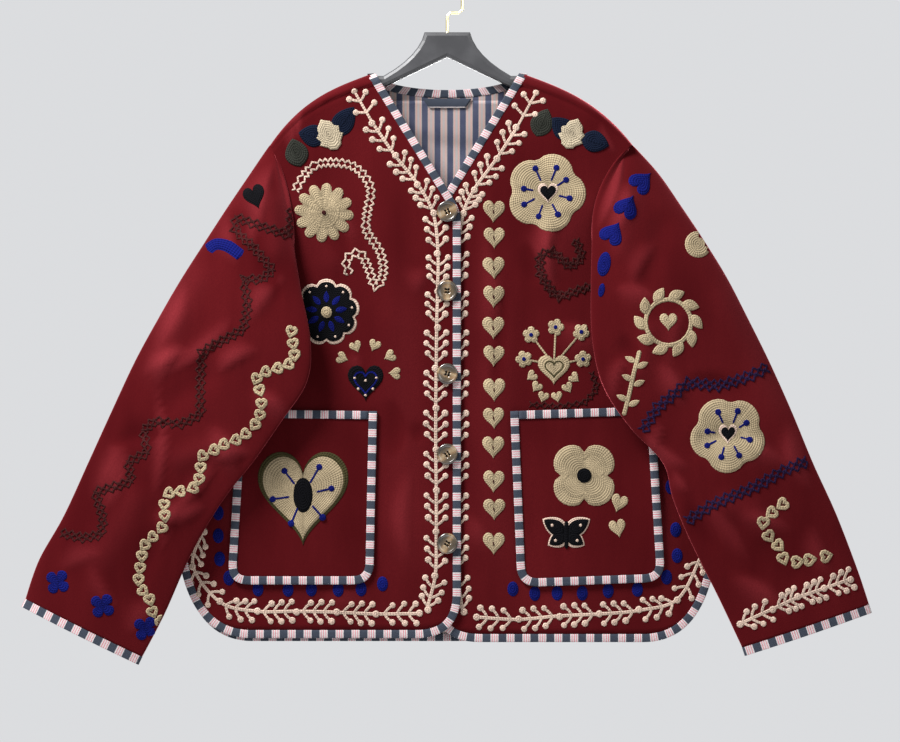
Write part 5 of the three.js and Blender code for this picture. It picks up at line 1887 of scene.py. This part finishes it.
@kept
def brass():
    f = Finish("hook_metal", Metallic=1.0, Roughness=0.3)
    at = f.coordinates(scale=(1, 1, 0.1))
    scratches = f.noise(at, 900.0, 3.0)
    spots = f.noise(f.coordinates(), 160.0, 3.0)
    c = tuple(settings().colours.metal)
    colour = f.mix(f.ramp(spots, [(0.45, 0.0), (0.7, 0.5)]), (*c, 1), (*(0.6 * part for part in c), 1))
    return f.done(colour, f.bump(scratches, 0.00005, 0.3), f.ramp(spots, [(0.3, 0.24), (0.7, 0.42)]))


# The stage. A light has a name, a place, the height that it aims at, a size, and a share of the power.

LIGHTS = (
    ("key", (-1.4, -1.15, 1.75), -0.4, 1.0, 1.0),
    ("fill", (2.0, -2.6, 0.5), -0.45, 2.0, 0.1),
    ("rim", (0.5, 2.4, -0.3), -0.4, 1.8, 0.3),
)
WALL_GREY, WALL_LIGHT = (0.80, 0.81, 0.83, 1), 0.89
FLOOR_GREYS = ((0.7, 0.7, 0.71, 1), (0.74, 0.74, 0.75, 1))
FLOOR_RADIUS, FLOOR_Z = 2.2, -1.7
VIEW_MIDDLE = (0.003, -0.443)  # x and z of the camera
SENSOR = 36


# Operators, in the order in which they run.


class BLAZER_OT_body(bpy.types.Operator):
    """Makes the two velvet fronts and the back."""

    bl_idname = "blazer.body"
    bl_label = "Body"

    def execute(self, context):
        for name in SIDES:
            make_front(name)
        make_back()
        return {"FINISHED"}


class BLAZER_OT_sleeves(bpy.types.Operator):
    """Makes the two velvet sleeves."""

    bl_idname = "blazer.sleeves"
    bl_label = "Sleeves"

    def execute(self, context):
        for name in SIDES:
            make_sleeve(name)
        return {"FINISHED"}


class BLAZER_OT_pockets(bpy.types.Operator):
    """Makes the patch pockets with their tape."""

    bl_idname = "blazer.pockets"
    bl_label = "Pockets"

    def execute(self, context):
        for name in SIDES:
            make_pocket(name)
            make_pocket_tapes(name)
        return {"FINISHED"}


class BLAZER_OT_tapes(bpy.types.Operator):
    """Makes the striped tape round the fronts, the back and the cuffs."""

    bl_idname = "blazer.tapes"
    bl_label = "Tapes"

    def execute(self, context):
        for name in SIDES:
            make_front_tape(name)
            make_cuff_tape(name)
        make_back_hem_tape()
        make_back_neck_tape()
        return {"FINISHED"}


class BLAZER_OT_inside(bpy.types.Operator):
    """Makes the lining and the hanging loop that show in the neck."""

    bl_idname = "blazer.inside"
    bl_label = "Inside of the back"

    def execute(self, context):
        make_lining()
        make_loop()
        return {"FINISHED"}


class BLAZER_OT_buttons(bpy.types.Operator):
    """Makes the five horn buttons and their thread."""

    bl_idname = "blazer.buttons"
    bl_label = "Buttons"

    def execute(self, context):
        for number in range(len(BUTTON_ZS)):
            make_button(number)
        return {"FINISHED"}


class BLAZER_OT_stitches(bpy.types.Operator):
    """Sews the embroidery on the fronts, the pockets, the sleeves and the back."""

    bl_idname = "blazer.stitches"
    bl_label = "Embroidery"

    def execute(self, context):
        make_front_stitches()
        make_pocket_stitches()
        make_sleeve_stitches()
        make_back_stitches()
        return {"FINISHED"}


class BLAZER_OT_hanger(bpy.types.Operator):
    """Finishes the hanger and its hook."""

    bl_idname = "blazer.hanger"
    bl_label = "Hanger"

    def execute(self, context):
        for node, material in (("hanger", plastic()), ("hook", brass())):
            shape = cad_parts[node]
            shape.data.materials.clear()
            shape.data.materials.append(material)
        return {"FINISHED"}


class BLAZER_OT_stage(bpy.types.Operator):
    """Sets up the floor, the soft light and the camera."""

    bl_idname = "blazer.stage"
    bl_label = "Stage"

    def execute(self, context):
        stage = settings().stage
        scene = context.scene
        scene.view_settings.view_transform = "Standard"
        make_floor()
        world = bpy.data.worlds.new("studio")
        scene.world = world
        world.use_nodes = True
        background = world.node_tree.nodes["Background"]
        background.inputs[0].default_value = WALL_GREY
        background.inputs[1].default_value = WALL_LIGHT
        for name, place, aim, size, share in LIGHTS:
            soft_light(name, place, (0, 0, aim), size, stage.light * share)
        camera = bpy.data.objects.new("camera", bpy.data.cameras.new("camera"))
        scene.collection.objects.link(camera)
        camera.location = (VIEW_MIDDLE[0], -stage.distance, VIEW_MIDDLE[1])
        camera.rotation_euler = (math.pi / 2, 0, 0)
        camera.data.sensor_width = SENSOR
        camera.data.lens = SENSOR * stage.distance / stage.view_width
        camera.data.clip_end = 50
        scene.camera = camera
        return {"FINISHED"}


def soft_light(name, place, target, size, power):
    data = bpy.data.lights.new(name, "AREA")
    data.shape = "DISK"
    data.size = size
    data.energy = power
    lamp = bpy.data.objects.new(name, data)
    lamp.location = place
    lamp.rotation_euler = (Vector(target) - Vector(place)).to_track_quat("-Z", "Y").to_euler()
    bpy.context.scene.collection.objects.link(lamp)


def make_floor():
    bm = bmesh.new()
    bmesh.ops.create_circle(bm, cap_ends=True, segments=96, radius=FLOOR_RADIUS)
    bmesh.ops.translate(bm, verts=bm.verts, vec=(0, 0, FLOOR_Z))
    mesh = bpy.data.meshes.new("floor")
    bm.to_mesh(mesh)
    bm.free()
    floor = bpy.data.objects.new("floor", mesh)
    bpy.context.scene.collection.objects.link(floor)
    f = Finish("floor", Roughness=0.8)
    spots = f.noise(f.coordinates(), 3.0)
    mesh.materials.append(f.done(f.mix(spots, *FLOOR_GREYS)))


class BLAZER_PT_panel(bpy.types.Panel):
    """The blazer's steps."""

    bl_idname = "BLAZER_PT_panel"
    bl_label = "Embroidered blazer"
    bl_space_type = "VIEW_3D"
    bl_region_type = "UI"
    bl_category = "Blazer"

    def draw(self, context):
        blazer = context.scene.blazer
        for group in (blazer.cloth, blazer.tape, blazer.stitch, blazer.colours, blazer.stage):
            box = self.layout.box()
            for name in group.bl_rna.properties.keys():
                if name not in ("rna_type", "name"):
                    box.prop(group, name)
        for step in STEPS:
            self.layout.operator(step.bl_idname)


STEPS = [
    BLAZER_OT_body,
    BLAZER_OT_sleeves,
    BLAZER_OT_pockets,
    BLAZER_OT_tapes,
    BLAZER_OT_inside,
    BLAZER_OT_buttons,
    BLAZER_OT_stitches,
    BLAZER_OT_hanger,
    BLAZER_OT_stage,
]
GROUPS = [ClothSizes, TapeSizes, StitchSizes, Colours, StageSizes, BlazerSettings]
CLASSES = [*GROUPS, *STEPS, BLAZER_PT_panel]


def register():
    for each in CLASSES:
        bpy.utils.register_class(each)
    bpy.types.Scene.blazer = PointerProperty(type=BlazerSettings)


def unregister():
    del bpy.types.Scene.blazer
    for each in reversed(CLASSES):
        bpy.utils.unregister_class(each)


def main():
    register()
    bpy.ops.blazer.body()
    bpy.ops.blazer.sleeves()
    bpy.ops.blazer.pockets()
    bpy.ops.blazer.tapes()
    bpy.ops.blazer.inside()
    bpy.ops.blazer.buttons()
    bpy.ops.blazer.stitches()
    bpy.ops.blazer.hanger()
    bpy.ops.blazer.stage()
    bpy.context.view_layer.update()


if __name__ == "__main__":
    main()
